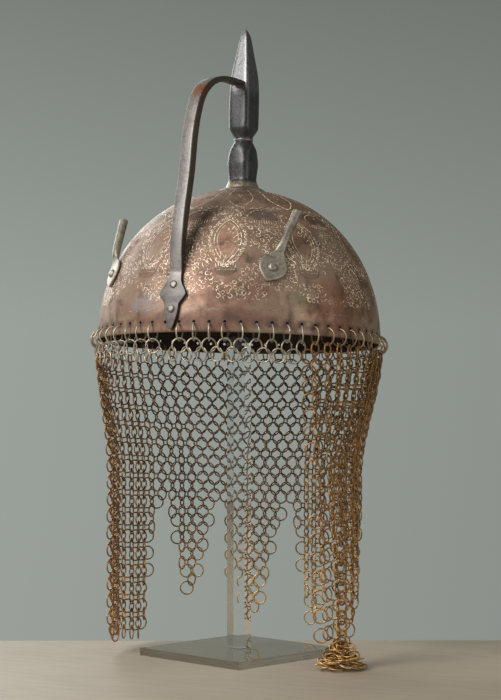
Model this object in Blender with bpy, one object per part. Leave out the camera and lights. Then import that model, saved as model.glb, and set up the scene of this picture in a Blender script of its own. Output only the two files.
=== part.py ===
"""Kulah khud, an Indo-Persian mail-hung helmet, on a clear acrylic stand. Metres, +Z up.

The nasal bar faces -Y. The origin is on the table under the middle of the stand. Helmet pieces are
modelled upright from the middle of the rim plane and hang under one empty that carries the lean.
Azimuths are in degrees from the nasal bar, counter-clockwise seen from above.
"""

import math

import bmesh
import bpy
from mathutils import Euler, Matrix, Vector

# Fit between neighbouring pieces.
SEAT_GAP = 0.0003
FINE = 1e-6

# Skull.
RIM_HEIGHT = 0.2245
LEAN_BACK = math.radians(3.8)
LEAN_SIDE = math.radians(-0.5)
RIM_RADIUS = 0.102
DOME_HEIGHT = 0.111
DOME_EXPONENT = 2.1
WALL = 0.0015
DOME_COLUMNS = 60
DOME_ROWS = 11
RIM_HOLES = 60
RIM_HOLE_RADIUS = 0.0015
RIM_HOLE_HEIGHT = 0.007
RIM_HOLE_CELL = 0.007

# Finial. Each row is (height share, half width share, squareness of the section).
FINIAL_PLATE_RADIUS = 0.018
FINIAL_PLATE_THICKNESS = 0.0012
SPIKE_LENGTH = 0.1172
SPIKE_HALF_WIDTH = 0.0109
SPIKE_CORNER_AZIMUTH = math.radians(36.5)
SPIKE_SIDES = 16
SPIKE_ROWS = (
    (0.000, 1.13, 2.0),
    (0.021, 1.05, 2.2),
    (0.043, 0.95, 3.0),
    (0.061, 0.93, 4.0),
    (0.102, 0.97, 4.0),
    (0.148, 1.02, 4.0),
    (0.185, 0.99, 4.0),
    (0.222, 0.93, 3.0),
    (0.247, 0.86, 2.5),
    (0.277, 0.69, 2.0),
    (0.295, 0.60, 2.0),
    (0.299, 0.65, 2.0),
    (0.305, 0.65, 2.0),
    (0.309, 0.60, 2.0),
    (0.326, 0.66, 2.2),
    (0.346, 0.80, 3.0),
    (0.370, 0.95, 4.0),
    (0.397, 0.99, 5.0),
    (0.501, 1.00, 6.0),
    (0.603, 0.99, 6.0),
    (0.654, 0.96, 7.0),
    (0.706, 0.90, 7.0),
    (0.757, 0.80, 7.0),
    (0.808, 0.69, 7.0),
    (0.859, 0.57, 7.0),
    (0.911, 0.46, 6.0),
    (0.957, 0.34, 5.0),
    (0.987, 0.17, 4.0),
    (1.000, 0.05, 2.0),
)

# Nasal bar. A foot row is (height share of the foot, width share of the foot).
FOOT_START = 0.002
FOOT_LENGTH = 0.038
FOOT_WIDTH = 0.0196
FOOT_THICKNESS = 0.0024
FOOT_ROWS = (
    (0.00, 0.10),
    (0.10, 0.28),
    (0.22, 0.44),
    (0.36, 0.55),
    (0.44, 0.56),
    (0.52, 0.78),
    (0.60, 1.00),
    (0.68, 0.95),
    (0.80, 0.66),
    (0.90, 0.52),
    (1.00, 0.48),
)
# A route row is (reach share of RIM_RADIUS, height share of BAR_END_HEIGHT, width and thickness
# shares, share of BAR_TURN). The end of the bar takes its reach from the spike.
BAR_END_HEIGHT = 0.190
BAR_WIDTH = 0.010
BAR_THICKNESS = 0.0065
BAR_TURN = math.radians(13.0)
BAR_STEPS = 3
BAR_ROUTE = (
    (0.972, 0.295, 0.97, 0.75, 0.3),
    (0.937, 0.433, 1.00, 0.95, 0.8),
    (0.874, 0.585, 1.00, 1.00, 1.0),
    (0.832, 0.740, 1.00, 1.00, 1.0),
    (0.753, 0.866, 1.00, 0.95, 0.8),
    (0.626, 0.940, 1.00, 0.82, 0.5),
    (0.447, 0.980, 0.97, 0.60, 0.2),
    (0.260, 0.996, 0.94, 0.46, 0.0),
)
NASAL_RIVET_HEIGHTS = {"nasal_rivet_upper": 0.0319, "nasal_rivet_lower": 0.0154}

# Plume holders. A row is (share of length from the rivet, width, thickness, squareness), with
# widths as shares of LEAF_WIDTH and thicknesses as shares of TUBE_WIDTH.
PLUME_AZIMUTHS = {"right": math.radians(39.5), "left": math.radians(-43.5)}
PLUME_HEIGHT = 0.0445
PLUME_SPLAY = math.radians(25.0)
PLUME_LENGTH = 0.047
LEAF_WIDTH = 0.0194
TUBE_WIDTH = 0.0062
TUBE_WALL = 0.0007
TUBE_BORE_LENGTH = 0.026
LEAF_THICKNESS_SHARE = 0.27
PLUME_SIDES = 12
PLUME_ROWS = (
    (-0.235, 0.06, 0.27, 3.0),
    (-0.190, 0.36, 0.30, 4.0),
    (-0.120, 0.72, 0.30, 4.0),
    (-0.040, 0.95, 0.30, 4.0),
    (0.040, 1.00, 0.30, 4.0),
    (0.120, 0.90, 0.30, 4.0),
    (0.200, 0.62, 0.34, 4.0),
    (0.270, 0.38, 0.50, 3.0),
    (0.340, 0.34, 0.75, 2.4),
    (0.440, 0.315, 0.92, 2.0),
    (0.600, 0.312, 0.95, 2.0),
    (1.000, 0.350, 1.00, 2.0),
)

# Rivets.
RIVET_SHANK_RADIUS = 0.0014
RIVET_HOLE_CLEARANCE = 0.0003
RIVET_INNER_HEAD_RADIUS = 0.0026
RIVET_INNER_HEAD_HEIGHT = 0.0010
RIVET_INNER_GAP = 0.0006
NASAL_RIVET_RADIUS = 0.0027
PLUME_RIVET_RADIUS = 0.0031
RIVET_DOME_SHARE = 0.7
RIVET_SIDES = 12

# Mail curtain, a closed sheet of the mail's outer thickness.
MAIL_THICKNESS = 0.003
MAIL_ROWS = 9
MAIL_STEP = 6.0
FACE_BAND_DROP = 0.024
FACE_OPENING = 52.0
# The curtain narrows and its rows draw together within MAIL_NECK of the rim.
MAIL_NECK = 0.095
MAIL_NARROWING = 0.125
MAIL_CONTRACTION = 0.0625
MAIL_SHIFT = Vector((-0.0032, -0.0016, 0.0))
FOLD_DEPTH = 0.0015
FOLD_COUNT = 13
# The front corner beside the right plume holder is gathered above the heap that it ends in.
GATHER_AZIMUTH = 76.0
GATHER_REACH = 30.0
GATHER_SHARE = 0.60
GATHER_FLARE = 0.009
HEAP_RADIUS = 0.0135
HEAP_HEIGHT = 0.0135
HEAP_SIDES = 14
HEAP_LOBES = 5
# Lower edge of the long mail: (azimuth at the rim, height above the table as a share of RIM_HEIGHT).
MAIL_EDGE = (
    (52.0, 0.10),
    (60.0, 0.05),
    (66.0, 0.03),
    (76.0, 0.03),
    (84.0, 0.09),
    (112.5, 0.45),
    (126.5, 0.14),
    (141.5, 0.44),
    (150.0, 0.36),
    (156.0, 0.16),
    (160.0, 0.04),
    (165.0, 0.05),
    (171.0, 0.24),
    (179.0, 0.48),
    (187.0, 0.32),
    (191.0, 0.24),
    (193.5, 0.09),
    (198.5, 0.02),
    (201.5, 0.10),
    (203.5, 0.47),
    (208.5, 0.08),
    (213.0, 0.47),
    (219.0, 0.45),
    (231.5, 0.13),
    (234.0, 0.15),
    (245.0, 0.46),
    (250.5, 0.46),
    (253.0, 0.38),
    (257.0, 0.27),
    (259.0, 0.10),
    (261.5, 0.03),
    (296.0, 0.03),
    (304.0, 0.06),
    (308.0, 0.10),
)

# Stand.
BASE_SIDE = 0.101
BASE_THICKNESS = 0.0055
BASE_BEVEL = 0.0006
POST_SIDE = 0.0122
STAND_TURN = math.radians(-18.5)

HELMET = Matrix.Translation((0.0, 0.0, RIM_HEIGHT)) @ Euler((-LEAN_BACK, LEAN_SIDE, 0.0)).to_matrix().to_4x4()


def clear_scene():
    for obj in list(bpy.data.objects):
        bpy.data.objects.remove(obj, do_unlink=True)


def make_material(name, colour, roughness, metallic, transmission=0.0):
    material = bpy.data.materials.new(name)
    material.use_nodes = True
    shader = material.node_tree.nodes["Principled BSDF"]
    shader.inputs["Base Color"].default_value = (*colour, 1.0)
    shader.inputs["Roughness"].default_value = roughness
    shader.inputs["Metallic"].default_value = metallic
    shader.inputs["Transmission Weight"].default_value = transmission
    return material


def add_mesh(name, vertices, faces, material, parent=None, smooth=True):
    mesh = bpy.data.meshes.new(name)
    mesh.from_pydata([tuple(v) for v in vertices], [], faces)
    shape = bmesh.new()
    shape.from_mesh(mesh)
    bmesh.ops.remove_doubles(shape, verts=shape.verts, dist=FINE)
    bmesh.ops.recalc_face_normals(shape, faces=shape.faces)
    shape.to_mesh(mesh)
    shape.free()
    mesh.validate()
    mesh.materials.append(material)
    if smooth:
        mesh.shade_smooth()
        mesh.set_sharp_from_angle(angle=math.radians(40.0))
    obj = bpy.data.objects.new(name, mesh)
    bpy.context.collection.objects.link(obj)
    obj.parent = parent
    return obj


def add_boolean(obj, other, operation):
    other.hide_render = True
    other.display_type = "WIRE"
    modifier = obj.modifiers.new(other.name, "BOOLEAN")
    modifier.operation = operation
    modifier.solver = "EXACT"
    modifier.object = other


def loft(rings, closed_ends=True, closed_loop=False):
    """Vertices and faces of a tube through equal rings of points, with flat ends."""
    count = len(rings[0])
    vertices = [point for ring in rings for point in ring]
    faces = []
    pairs = list(zip(range(len(rings)), range(1, len(rings))))
    if closed_loop:
        pairs.append((len(rings) - 1, 0))
    for low, high in pairs:
        for i in range(count):
            j = (i + 1) % count
            faces.append((low * count + i, low * count + j, high * count + j, high * count + i))
    if closed_ends and not closed_loop:
        faces.append(tuple(reversed(range(count))))
        faces.append(tuple((len(rings) - 1) * count + i for i in range(count)))
    return vertices, faces


def lathe(profile, sides, frame=None):
    """A closed solid turned about +Z from (radius, height) pairs, which start and end on the axis."""
    frame = frame or Matrix.Identity(4)
    rings = []
    for radius, height in profile:
        ring = []
        for i in range(sides):
            angle = 2.0 * math.pi * i / sides
            ring.append(frame @ Vector((radius * math.cos(angle), radius * math.sin(angle), height)))
        rings.append(ring)
    vertices, faces = loft(rings, closed_ends=False)
    return vertices, faces


def squircle(u_half, v_half, squareness, sides):
    """Points of a superellipse, from an ellipse at squareness 2 to nearly a rectangle above 6."""
    points = []
    for i in range(sides):
        angle = 2.0 * math.pi * (i + 0.5) / sides
        c = math.cos(angle)
        s = math.sin(angle)
        reach = (abs(c) ** squareness + abs(s) ** squareness) ** (-1.0 / squareness)
        points.append((u_half * c * reach, v_half * s * reach))
    return points


def ease(value):
    value = min(max(value, 0.0), 1.0)
    return value * value * (3.0 - 2.0 * value)


def outward(azimuth):
    return Vector((math.sin(azimuth), -math.cos(azimuth), 0.0))


def dome_radius(height, inset=0.0):
    share = min(max(height / (DOME_HEIGHT - inset), 0.0), 1.0)
    return (RIM_RADIUS - inset) * (1.0 - share**DOME_EXPONENT) ** (1.0 / DOME_EXPONENT)


def dome_normal(azimuth, height):
    power = DOME_EXPONENT - 1.0
    across = (dome_radius(height) / RIM_RADIUS) ** power / RIM_RADIUS
    up = (height / DOME_HEIGHT) ** power / DOME_HEIGHT
    return (outward(azimuth) * across + Vector((0.0, 0.0, up))).normalized()


def dome_point(azimuth, height, lift=0.0):
    surface = outward(azimuth) * dome_radius(height) + Vector((0.0, 0.0, height))
    return surface + dome_normal(azimuth, height) * lift


def dome_frame(azimuth, height, lift=0.0):
    """A frame on the dome with +Z along its normal and +Y up its meridian."""
    normal = dome_normal(azimuth, height)
    side = outward(azimuth + 0.5 * math.pi)
    up = normal.cross(side)
    frame = Matrix((side, up, normal)).transposed().to_4x4()
    frame.translation = dome_point(azimuth, height, lift)
    return frame


def dome_heights(inset):
    """Heights of the dome's rows: the rim, both edges of the hole band, then even steps of arc."""
    first = RIM_HOLE_HEIGHT - 0.5 * RIM_HOLE_CELL
    last = RIM_HOLE_HEIGHT + 0.5 * RIM_HOLE_CELL
    top = DOME_HEIGHT - inset
    start = math.asin((last / top) ** (0.5 * DOME_EXPONENT))
    heights = [0.0, first, last]
    for row in range(1, DOME_ROWS):
        angle = start + (0.5 * math.pi - start) * row / DOME_ROWS
        heights.append(top * math.sin(angle) ** (2.0 / DOME_EXPONENT))
    return heights + [top]


def dome_ring(height, inset):
    radius = dome_radius(height, inset)
    ring = []
    for i in range(DOME_COLUMNS):
        ring.append(outward(2.0 * math.pi * i / DOME_COLUMNS) * radius + Vector((0.0, 0.0, height)))
    return ring


def rivet_holes():
    """(frame, radius) of each rivet's hole, in the helmet's own space."""
    radius = RIVET_SHANK_RADIUS + RIVET_HOLE_CLEARANCE
    frames = [dome_frame(0.0, height) for height in NASAL_RIVET_HEIGHTS.values()]
    frames += [dome_frame(azimuth, PLUME_HEIGHT) for azimuth in PLUME_AZIMUTHS.values()]
    return [(frame, radius) for frame in frames]


def prism_shapes(holes, reach, sides=8):
    """One mesh of separate prisms along each frame's +Z, from -reach to +reach."""
    vertices = []
    faces = []
    for frame, radius in holes:
        start = len(vertices)
        ends = []
        for z in (-reach, reach):
            ring = []
            for i in range(sides):
                angle = 2.0 * math.pi * (i + 0.5) / sides
                ring.append(frame @ Vector((radius * math.cos(angle), radius * math.sin(angle), z)))
            ends.append(ring)
        points, sides_faces = loft(ends)
        vertices += points
        faces += [tuple(start + index for index in face) for face in sides_faces]
    return vertices, faces


def build_skull(parent, material):
    outer = [dome_ring(height, 0.0) for height in dome_heights(0.0)]
    inner = [dome_ring(height, WALL) for height in dome_heights(WALL)]
    vertices, faces = loft(list(reversed(outer)) + inner, closed_ends=False)
    skull = add_mesh("skull", vertices, faces, material, parent)
    holes = []
    for i in range(RIM_HOLES):
        azimuth = 2.0 * math.pi * (i + 0.5) / RIM_HOLES
        holes.append((dome_frame(azimuth, RIM_HOLE_HEIGHT), RIM_HOLE_RADIUS))
    points, sides = prism_shapes(holes + rivet_holes(), 2.0 * WALL)
    cutter = add_mesh("skull_hole_cutter", points, sides, material, parent, smooth=False)
    add_boolean(skull, cutter, "DIFFERENCE")
    return skull


def finial_seat():
    """Height of the flat top of the finial's plate."""
    return DOME_HEIGHT + SEAT_GAP + FINIAL_PLATE_THICKNESS


def build_finial_plate(parent, material):
    flat = SPIKE_HALF_WIDTH * SPIKE_ROWS[0][1]
    under = []
    steps = 4
    for i in range(steps + 1):
        radius = FINIAL_PLATE_RADIUS * i / steps
        drop = DOME_HEIGHT * (1.0 - (1.0 - (radius / RIM_RADIUS) ** DOME_EXPONENT) ** (1.0 / DOME_EXPONENT))
        under.append((radius, DOME_HEIGHT - drop + SEAT_GAP))
    edge_radius, edge_height = under[-1]
    profile = under + [
        (edge_radius, edge_height + 0.6 * FINIAL_PLATE_THICKNESS),
        (0.5 * (flat + edge_radius), finial_seat() - 0.25 * FINIAL_PLATE_THICKNESS),
        (flat, finial_seat()),
        (0.0, finial_seat()),
    ]
    vertices, faces = lathe(profile, 24)
    return add_mesh("finial_plate", vertices, faces, material, parent)


def spike_half_side(share):
    """Half the distance between opposite facets of the spike at a share of its height."""
    rows = SPIKE_ROWS
    for low, high in zip(rows, rows[1:]):
        if low[0] <= share <= high[0]:
            mix = (share - low[0]) / (high[0] - low[0])
            half = low[1] + (high[1] - low[1]) * mix
            squareness = low[2] + (high[2] - low[2]) * mix
            return SPIKE_HALF_WIDTH * half / 2.0 ** (0.5 - 1.0 / squareness)
    return SPIKE_HALF_WIDTH


def build_spike(parent, material):
    base = finial_seat() + SEAT_GAP
    turn = Matrix.Rotation(SPIKE_CORNER_AZIMUTH - 0.25 * math.pi, 4, "Z")
    rings = []
    for share, width, squareness in SPIKE_ROWS:
        half = SPIKE_HALF_WIDTH * width / 2.0 ** (0.5 - 1.0 / squareness)
        height = base + SPIKE_LENGTH * share
        section = squircle(half, half, squareness, SPIKE_SIDES)
        rings.append([turn @ Vector((x, y, height)) for x, y in section])
    vertices, faces = loft(rings)
    return add_mesh("finial_spike", vertices, faces, material, parent)


def smooth_route(rows, steps):
    """Rows between the given ones on a Catmull-Rom curve through them."""
    padded = [rows[0]] + list(rows) + [rows[-1]]
    route = []
    for a, b, c, d in zip(padded, padded[1:], padded[2:], padded[3:]):
        for step in range(steps):
            t = step / steps
            row = []
            for p, q, r, s in zip(a, b, c, d):
                value = 2.0 * q + (r - p) * t + (2.0 * p - 5.0 * q + 4.0 * r - s) * t**2
                row.append(0.5 * (value + (3.0 * q - p - 3.0 * r + s) * t**3))
            route.append(tuple(row))
    route.append(rows[-1])
    return route


def bar_end_reach():
    """How far from the axis the bar's end stops, clear of the spike's facet and its turn."""
    share = (BAR_END_HEIGHT - finial_seat()) / SPIKE_LENGTH
    facet_turn = abs(SPIKE_CORNER_AZIMUTH - 0.25 * math.pi)
    return spike_half_side(share) / math.cos(facet_turn) + 0.5 * BAR_WIDTH * math.tan(facet_turn) + 2.0 * SEAT_GAP


def bar_rows():
    """(centre of the outer face, width, thickness, turn) from the foot's tip to the spike."""
    stations = []
    for share, width in FOOT_ROWS:
        height = FOOT_START + FOOT_LENGTH * share
        point = dome_point(0.0, height, SEAT_GAP + FOOT_THICKNESS)
        stations.append((-point.y, point.z, FOOT_WIDTH * width, FOOT_THICKNESS, 0.0))
    free = []
    for reach, height, width, thickness, turn in BAR_ROUTE:
        free.append(
            (
                RIM_RADIUS * reach,
                BAR_END_HEIGHT * height,
                BAR_WIDTH * width,
                BAR_THICKNESS * thickness,
                BAR_TURN * turn,
            )
        )
    last = free[-1]
    free.append((bar_end_reach(), BAR_END_HEIGHT, last[2], 0.95 * last[3], 0.0))
    return stations[:-1] + smooth_route(stations[-1:] + free, BAR_STEPS)


def bar_section(width, thickness):
    """A rectangle with bevelled corners, its outer face through the origin."""
    bevel = 0.18 * min(width, thickness)
    half = 0.5 * width
    return (
        (-half + bevel, 0.0),
        (half - bevel, 0.0),
        (half, -bevel),
        (half, bevel - thickness),
        (half - bevel, -thickness),
        (-half + bevel, -thickness),
        (-half, bevel - thickness),
        (-half, -bevel),
    )


def build_nasal_bar(parent, material):
    rows = bar_rows()
    rings = []
    for i, (reach, height, width, thickness, turn) in enumerate(rows):
        before = rows[max(i - 1, 0)]
        after = rows[min(i + 1, len(rows) - 1)]
        run = Vector((0.0, before[0] - after[0], after[1] - before[1])).normalized()
        side = Vector((1.0, 0.0, 0.0))
        face = side.cross(run)
        spin = Matrix.Rotation(-turn, 3, run)
        middle = Vector((0.0, -reach, height)) - face * 0.5 * thickness
        ring = []
        for across, out in bar_section(width, thickness):
            offset = side * across + face * (out + 0.5 * thickness)
            ring.append(middle + spin @ offset)
        rings.append(ring)
    vertices, faces = loft(rings)
    bar = add_mesh("nasal_bar", vertices, faces, material, parent)
    holes = rivet_holes()[: len(NASAL_RIVET_HEIGHTS)]
    points, sides = prism_shapes(holes, 4.0 * FOOT_THICKNESS)
    cutter = add_mesh("nasal_hole_cutter", points, sides, material, parent, smooth=False)
    add_boolean(bar, cutter, "DIFFERENCE")
    return bar


def build_rivet(name, frame, grip, head_radius, parent, material):
    """A rivet on a frame at the dome's surface. Its head lies above a plate of thickness grip."""
    seat = SEAT_GAP + grip + SEAT_GAP
    inner_top = -WALL - RIVET_INNER_GAP
    inner_end = inner_top - RIVET_INNER_HEAD_HEIGHT
    rise = RIVET_DOME_SHARE * head_radius
    profile = [
        (0.0, inner_end),
        (0.8 * RIVET_INNER_HEAD_RADIUS, inner_end),
        (RIVET_INNER_HEAD_RADIUS, inner_end + 0.5 * RIVET_INNER_HEAD_HEIGHT),
        (RIVET_INNER_HEAD_RADIUS, inner_top),
        (RIVET_SHANK_RADIUS, inner_top),
        (RIVET_SHANK_RADIUS, seat),
    ]
    for degrees in (0.0, 25.0, 50.0, 70.0):
        angle = math.radians(degrees)
        profile.append((head_radius * math.cos(angle), seat + rise * math.sin(angle)))
    profile.append((0.0, seat + rise))
    vertices, faces = lathe(profile, RIVET_SIDES, frame)
    return add_mesh(name, vertices, faces, material, parent)


def plume_frame(side):
    """Frame at the rivet: +Z off the dome, +Y along the holder, splayed away from the nasal bar."""
    azimuth = PLUME_AZIMUTHS[side]
    splay = -PLUME_SPLAY if azimuth > 0.0 else PLUME_SPLAY
    return dome_frame(azimuth, PLUME_HEIGHT) @ Matrix.Rotation(splay, 4, "Z")


def build_plume_holder(side, parent, material):
    frame = plume_frame(side)
    rings = []
    for share, width, thickness, squareness in PLUME_ROWS:
        w_half = 0.5 * LEAF_WIDTH * width
        t_half = 0.5 * TUBE_WIDTH * thickness
        along = PLUME_LENGTH * share
        section = squircle(w_half, t_half, squareness, PLUME_SIDES)
        rings.append([frame @ Vector((u, along, v + t_half + SEAT_GAP)) for u, v in section])
    bore = 0.5 * TUBE_WIDTH - TUBE_WALL
    middle = 0.5 * TUBE_WIDTH + SEAT_GAP
    for along, radius in (
        (PLUME_LENGTH, bore),
        (PLUME_LENGTH - 0.6 * TUBE_BORE_LENGTH, 0.95 * bore),
        (PLUME_LENGTH - TUBE_BORE_LENGTH, 0.8 * bore),
    ):
        section = squircle(radius, radius, 2.0, PLUME_SIDES)
        rings.append([frame @ Vector((u, along, v + middle)) for u, v in section])
    vertices, faces = loft(rings)
    holder = add_mesh("plume_holder_" + side, vertices, faces, material, parent)
    hole = (frame, RIVET_SHANK_RADIUS + RIVET_HOLE_CLEARANCE)
    points, sides = prism_shapes([hole], TUBE_WIDTH)
    cutter = add_mesh("plume_cutter_" + side, points, sides, material, parent, smooth=False)
    add_boolean(holder, cutter, "DIFFERENCE")
    return holder


def edge_share(azimuth):
    """Height of the long mail's lower edge over the table, as a share of RIM_HEIGHT."""
    for (low, low_share), (high, high_share) in zip(MAIL_EDGE, MAIL_EDGE[1:]):
        if low <= azimuth <= high:
            return low_share + (high_share - low_share) * (azimuth - low) / (high - low)
    return 1.0


def mail_columns():
    """(azimuth at the rim, whether the mail is long there) once round, from the nasal bar."""
    stops = {azimuth for azimuth, _ in MAIL_EDGE}
    regular = [MAIL_STEP * i for i in range(round(360.0 / MAIL_STEP))]
    near = 0.45 * MAIL_STEP
    first = MAIL_EDGE[0][0]
    last = MAIL_EDGE[-1][0]
    short = [a for a in regular if a < first - near or a > last + near]
    long = [a for a in regular if first < a < last and all(abs(a - stop) > near for stop in stops)]
    columns = [(azimuth, False) for azimuth in short]
    columns += [(first - 0.4, False), (last + 0.4, False)]
    columns += [(azimuth, True) for azimuth in sorted(stops.union(long))]
    return sorted(columns)


def mail_bottom(azimuth, is_long):
    if is_long:
        return RIM_HEIGHT * edge_share(azimuth)
    return rim_point(math.radians(azimuth)).z - FACE_BAND_DROP


def rim_point(azimuth):
    """Middle of the curtain's top edge, just under the skull's rim, in the world."""
    return HELMET @ (outward(azimuth) * (RIM_RADIUS - 0.5 * WALL) + Vector((0.0, 0.0, -SEAT_GAP)))


def mail_point(azimuth, height, offset):
    """A point of the hanging mail for an azimuth in degrees at the rim and a height over the table."""
    top = rim_point(math.radians(azimuth))
    drop = top.z - height
    settle = ease(drop / MAIL_NECK)
    low = ease(drop / RIM_HEIGHT)
    turned = azimuth
    if FACE_OPENING <= azimuth <= 360.0 - FACE_OPENING:
        turned = 180.0 + (azimuth - 180.0) * (1.0 - MAIL_CONTRACTION * settle)
    nearness = max(0.0, 1.0 - abs(turned - GATHER_AZIMUTH) / GATHER_REACH)
    pull = math.sin(0.5 * math.pi * nearness) ** 2 * low
    turned += (GATHER_AZIMUTH - turned) * GATHER_SHARE * pull
    fold = FOLD_DEPTH * math.sin(math.radians(FOLD_COUNT * azimuth)) * settle
    radius = (RIM_RADIUS - 0.5 * WALL) * (1.0 - MAIL_NARROWING * settle) + fold + GATHER_FLARE * pull
    point = outward(math.radians(turned)) * (radius + offset) + MAIL_SHIFT * settle
    point.z = height
    return point


def build_mail(material):
    columns = mail_columns()
    half = 0.5 * MAIL_THICKNESS
    rings = []
    for azimuth, is_long in columns:
        top = rim_point(math.radians(azimuth)).z
        bottom = mail_bottom(azimuth, is_long)
        outer = []
        inner = []
        for row in range(MAIL_ROWS + 1):
            height = top + (bottom - top) * row / MAIL_ROWS
            outer.append(mail_point(azimuth, height, half))
            inner.append(mail_point(azimuth, height, -half))
        rings.append(outer + list(reversed(inner)))
    vertices, faces = loft(rings, closed_loop=True)
    curtain = add_mesh("mail_curtain", vertices, faces, material)
    heap = build_heap(material)
    add_boolean(curtain, heap, "UNION")
    return curtain


def build_heap(material):
    """The end of the front corner, lying on the table in a low lobed heap."""
    centre = mail_point(66.0, HEAP_HEIGHT, 0.0)
    rings = []
    for height, spread in ((0.0, 1.0), (0.25, 0.98), (0.55, 0.72), (0.85, 0.42), (1.0, 0.15)):
        ring = []
        for i in range(HEAP_SIDES):
            angle = 2.0 * math.pi * i / HEAP_SIDES
            reach = HEAP_RADIUS * spread * (1.0 + 0.12 * math.sin(HEAP_LOBES * angle))
            ring.append((centre.x + reach * math.cos(angle), centre.y + reach * math.sin(angle), HEAP_HEIGHT * height))
        rings.append(ring)
    vertices, faces = loft(rings)
    return add_mesh("mail_heap", vertices, faces, material)


def square(side, height):
    half = 0.5 * side
    return [Vector((x, y, height)) for x, y in ((-half, -half), (half, -half), (half, half), (-half, half))]


def build_base(material):
    cut = BASE_SIDE - 2.0 * BASE_BEVEL
    rings = [
        square(BASE_SIDE, 0.0),
        square(BASE_SIDE, BASE_THICKNESS - BASE_BEVEL),
        square(cut, BASE_THICKNESS),
    ]
    vertices, faces = loft(rings)
    base = add_mesh("stand_base", vertices, faces, material, smooth=False)
    base.rotation_euler.z = STAND_TURN
    return base


def inside_height(x, y):
    """Height over the table of the dome's inner face above a point."""
    height = RIM_HEIGHT + DOME_HEIGHT
    to_helmet = HELMET.inverted()
    for _ in range(40):
        local = to_helmet @ Vector((x, y, height))
        share = math.hypot(local.x, local.y) / (RIM_RADIUS - WALL)
        target = (DOME_HEIGHT - WALL) * (1.0 - share**DOME_EXPONENT) ** (1.0 / DOME_EXPONENT)
        height += target - local.z
    return height


def build_post(material):
    turn = Matrix.Rotation(STAND_TURN, 4, "Z")
    corners = [turn @ corner for corner in square(POST_SIDE, 0.0)]
    top = min(inside_height(corner.x, corner.y) for corner in corners) - 2.0 * SEAT_GAP
    vertices, faces = loft([square(POST_SIDE, BASE_THICKNESS + SEAT_GAP), square(POST_SIDE, top)])
    post = add_mesh("stand_post", vertices, faces, material, smooth=False)
    post.rotation_euler.z = STAND_TURN
    return post


def main():
    clear_scene()
    patina = make_material("patinated_steel", (0.30, 0.20, 0.165), 0.48, 0.75)
    dark_steel = make_material("dark_steel", (0.10, 0.10, 0.105), 0.42, 0.85)
    bar_steel = make_material("worn_bar_steel", (0.24, 0.20, 0.18), 0.5, 0.8)
    grey_steel = make_material("grey_steel", (0.42, 0.41, 0.39), 0.45, 0.85)
    brass_mail = make_material("bronzed_mail", (0.42, 0.29, 0.13), 0.4, 0.9)
    acrylic = make_material("clear_acrylic", (0.95, 0.97, 0.96), 0.05, 0.0, 1.0)

    helmet = bpy.data.objects.new("helmet", None)
    bpy.context.collection.objects.link(helmet)
    helmet.location.z = RIM_HEIGHT
    helmet.rotation_euler = (-LEAN_BACK, LEAN_SIDE, 0.0)

    build_skull(helmet, patina)
    build_finial_plate(helmet, bar_steel)
    build_spike(helmet, dark_steel)
    build_nasal_bar(helmet, bar_steel)
    for name, height in NASAL_RIVET_HEIGHTS.items():
        build_rivet(name, dome_frame(0.0, height), FOOT_THICKNESS, NASAL_RIVET_RADIUS, helmet, bar_steel)
    leaf = TUBE_WIDTH * LEAF_THICKNESS_SHARE
    for side in PLUME_AZIMUTHS:
        build_plume_holder(side, helmet, grey_steel)
        build_rivet("plume_rivet_" + side, plume_frame(side), leaf, PLUME_RIVET_RADIUS, helmet, grey_steel)
    build_mail(brass_mail)
    build_base(acrylic)
    build_post(acrylic)


main()
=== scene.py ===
"""Looks of the mail-hung kulah khud helmet and its acrylic stand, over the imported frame. Metres, +Z up."""

import random
from math import cos, pi, radians, sin, sqrt, tan

import bpy
import numpy as np
from mathutils import Euler, Matrix, Vector, noise


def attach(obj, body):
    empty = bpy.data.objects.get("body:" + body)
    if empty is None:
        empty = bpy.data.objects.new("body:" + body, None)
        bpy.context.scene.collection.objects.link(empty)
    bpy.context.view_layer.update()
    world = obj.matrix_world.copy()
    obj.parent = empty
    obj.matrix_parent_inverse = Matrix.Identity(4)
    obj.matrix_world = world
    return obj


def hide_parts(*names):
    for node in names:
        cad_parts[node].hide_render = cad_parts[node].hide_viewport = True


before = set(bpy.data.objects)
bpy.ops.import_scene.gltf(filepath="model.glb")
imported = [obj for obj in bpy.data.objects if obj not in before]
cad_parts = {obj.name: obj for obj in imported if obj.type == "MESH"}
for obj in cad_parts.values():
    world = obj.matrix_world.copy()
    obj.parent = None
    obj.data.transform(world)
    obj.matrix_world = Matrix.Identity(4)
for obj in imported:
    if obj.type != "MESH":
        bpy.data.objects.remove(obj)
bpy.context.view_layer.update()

MM = 0.001

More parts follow.
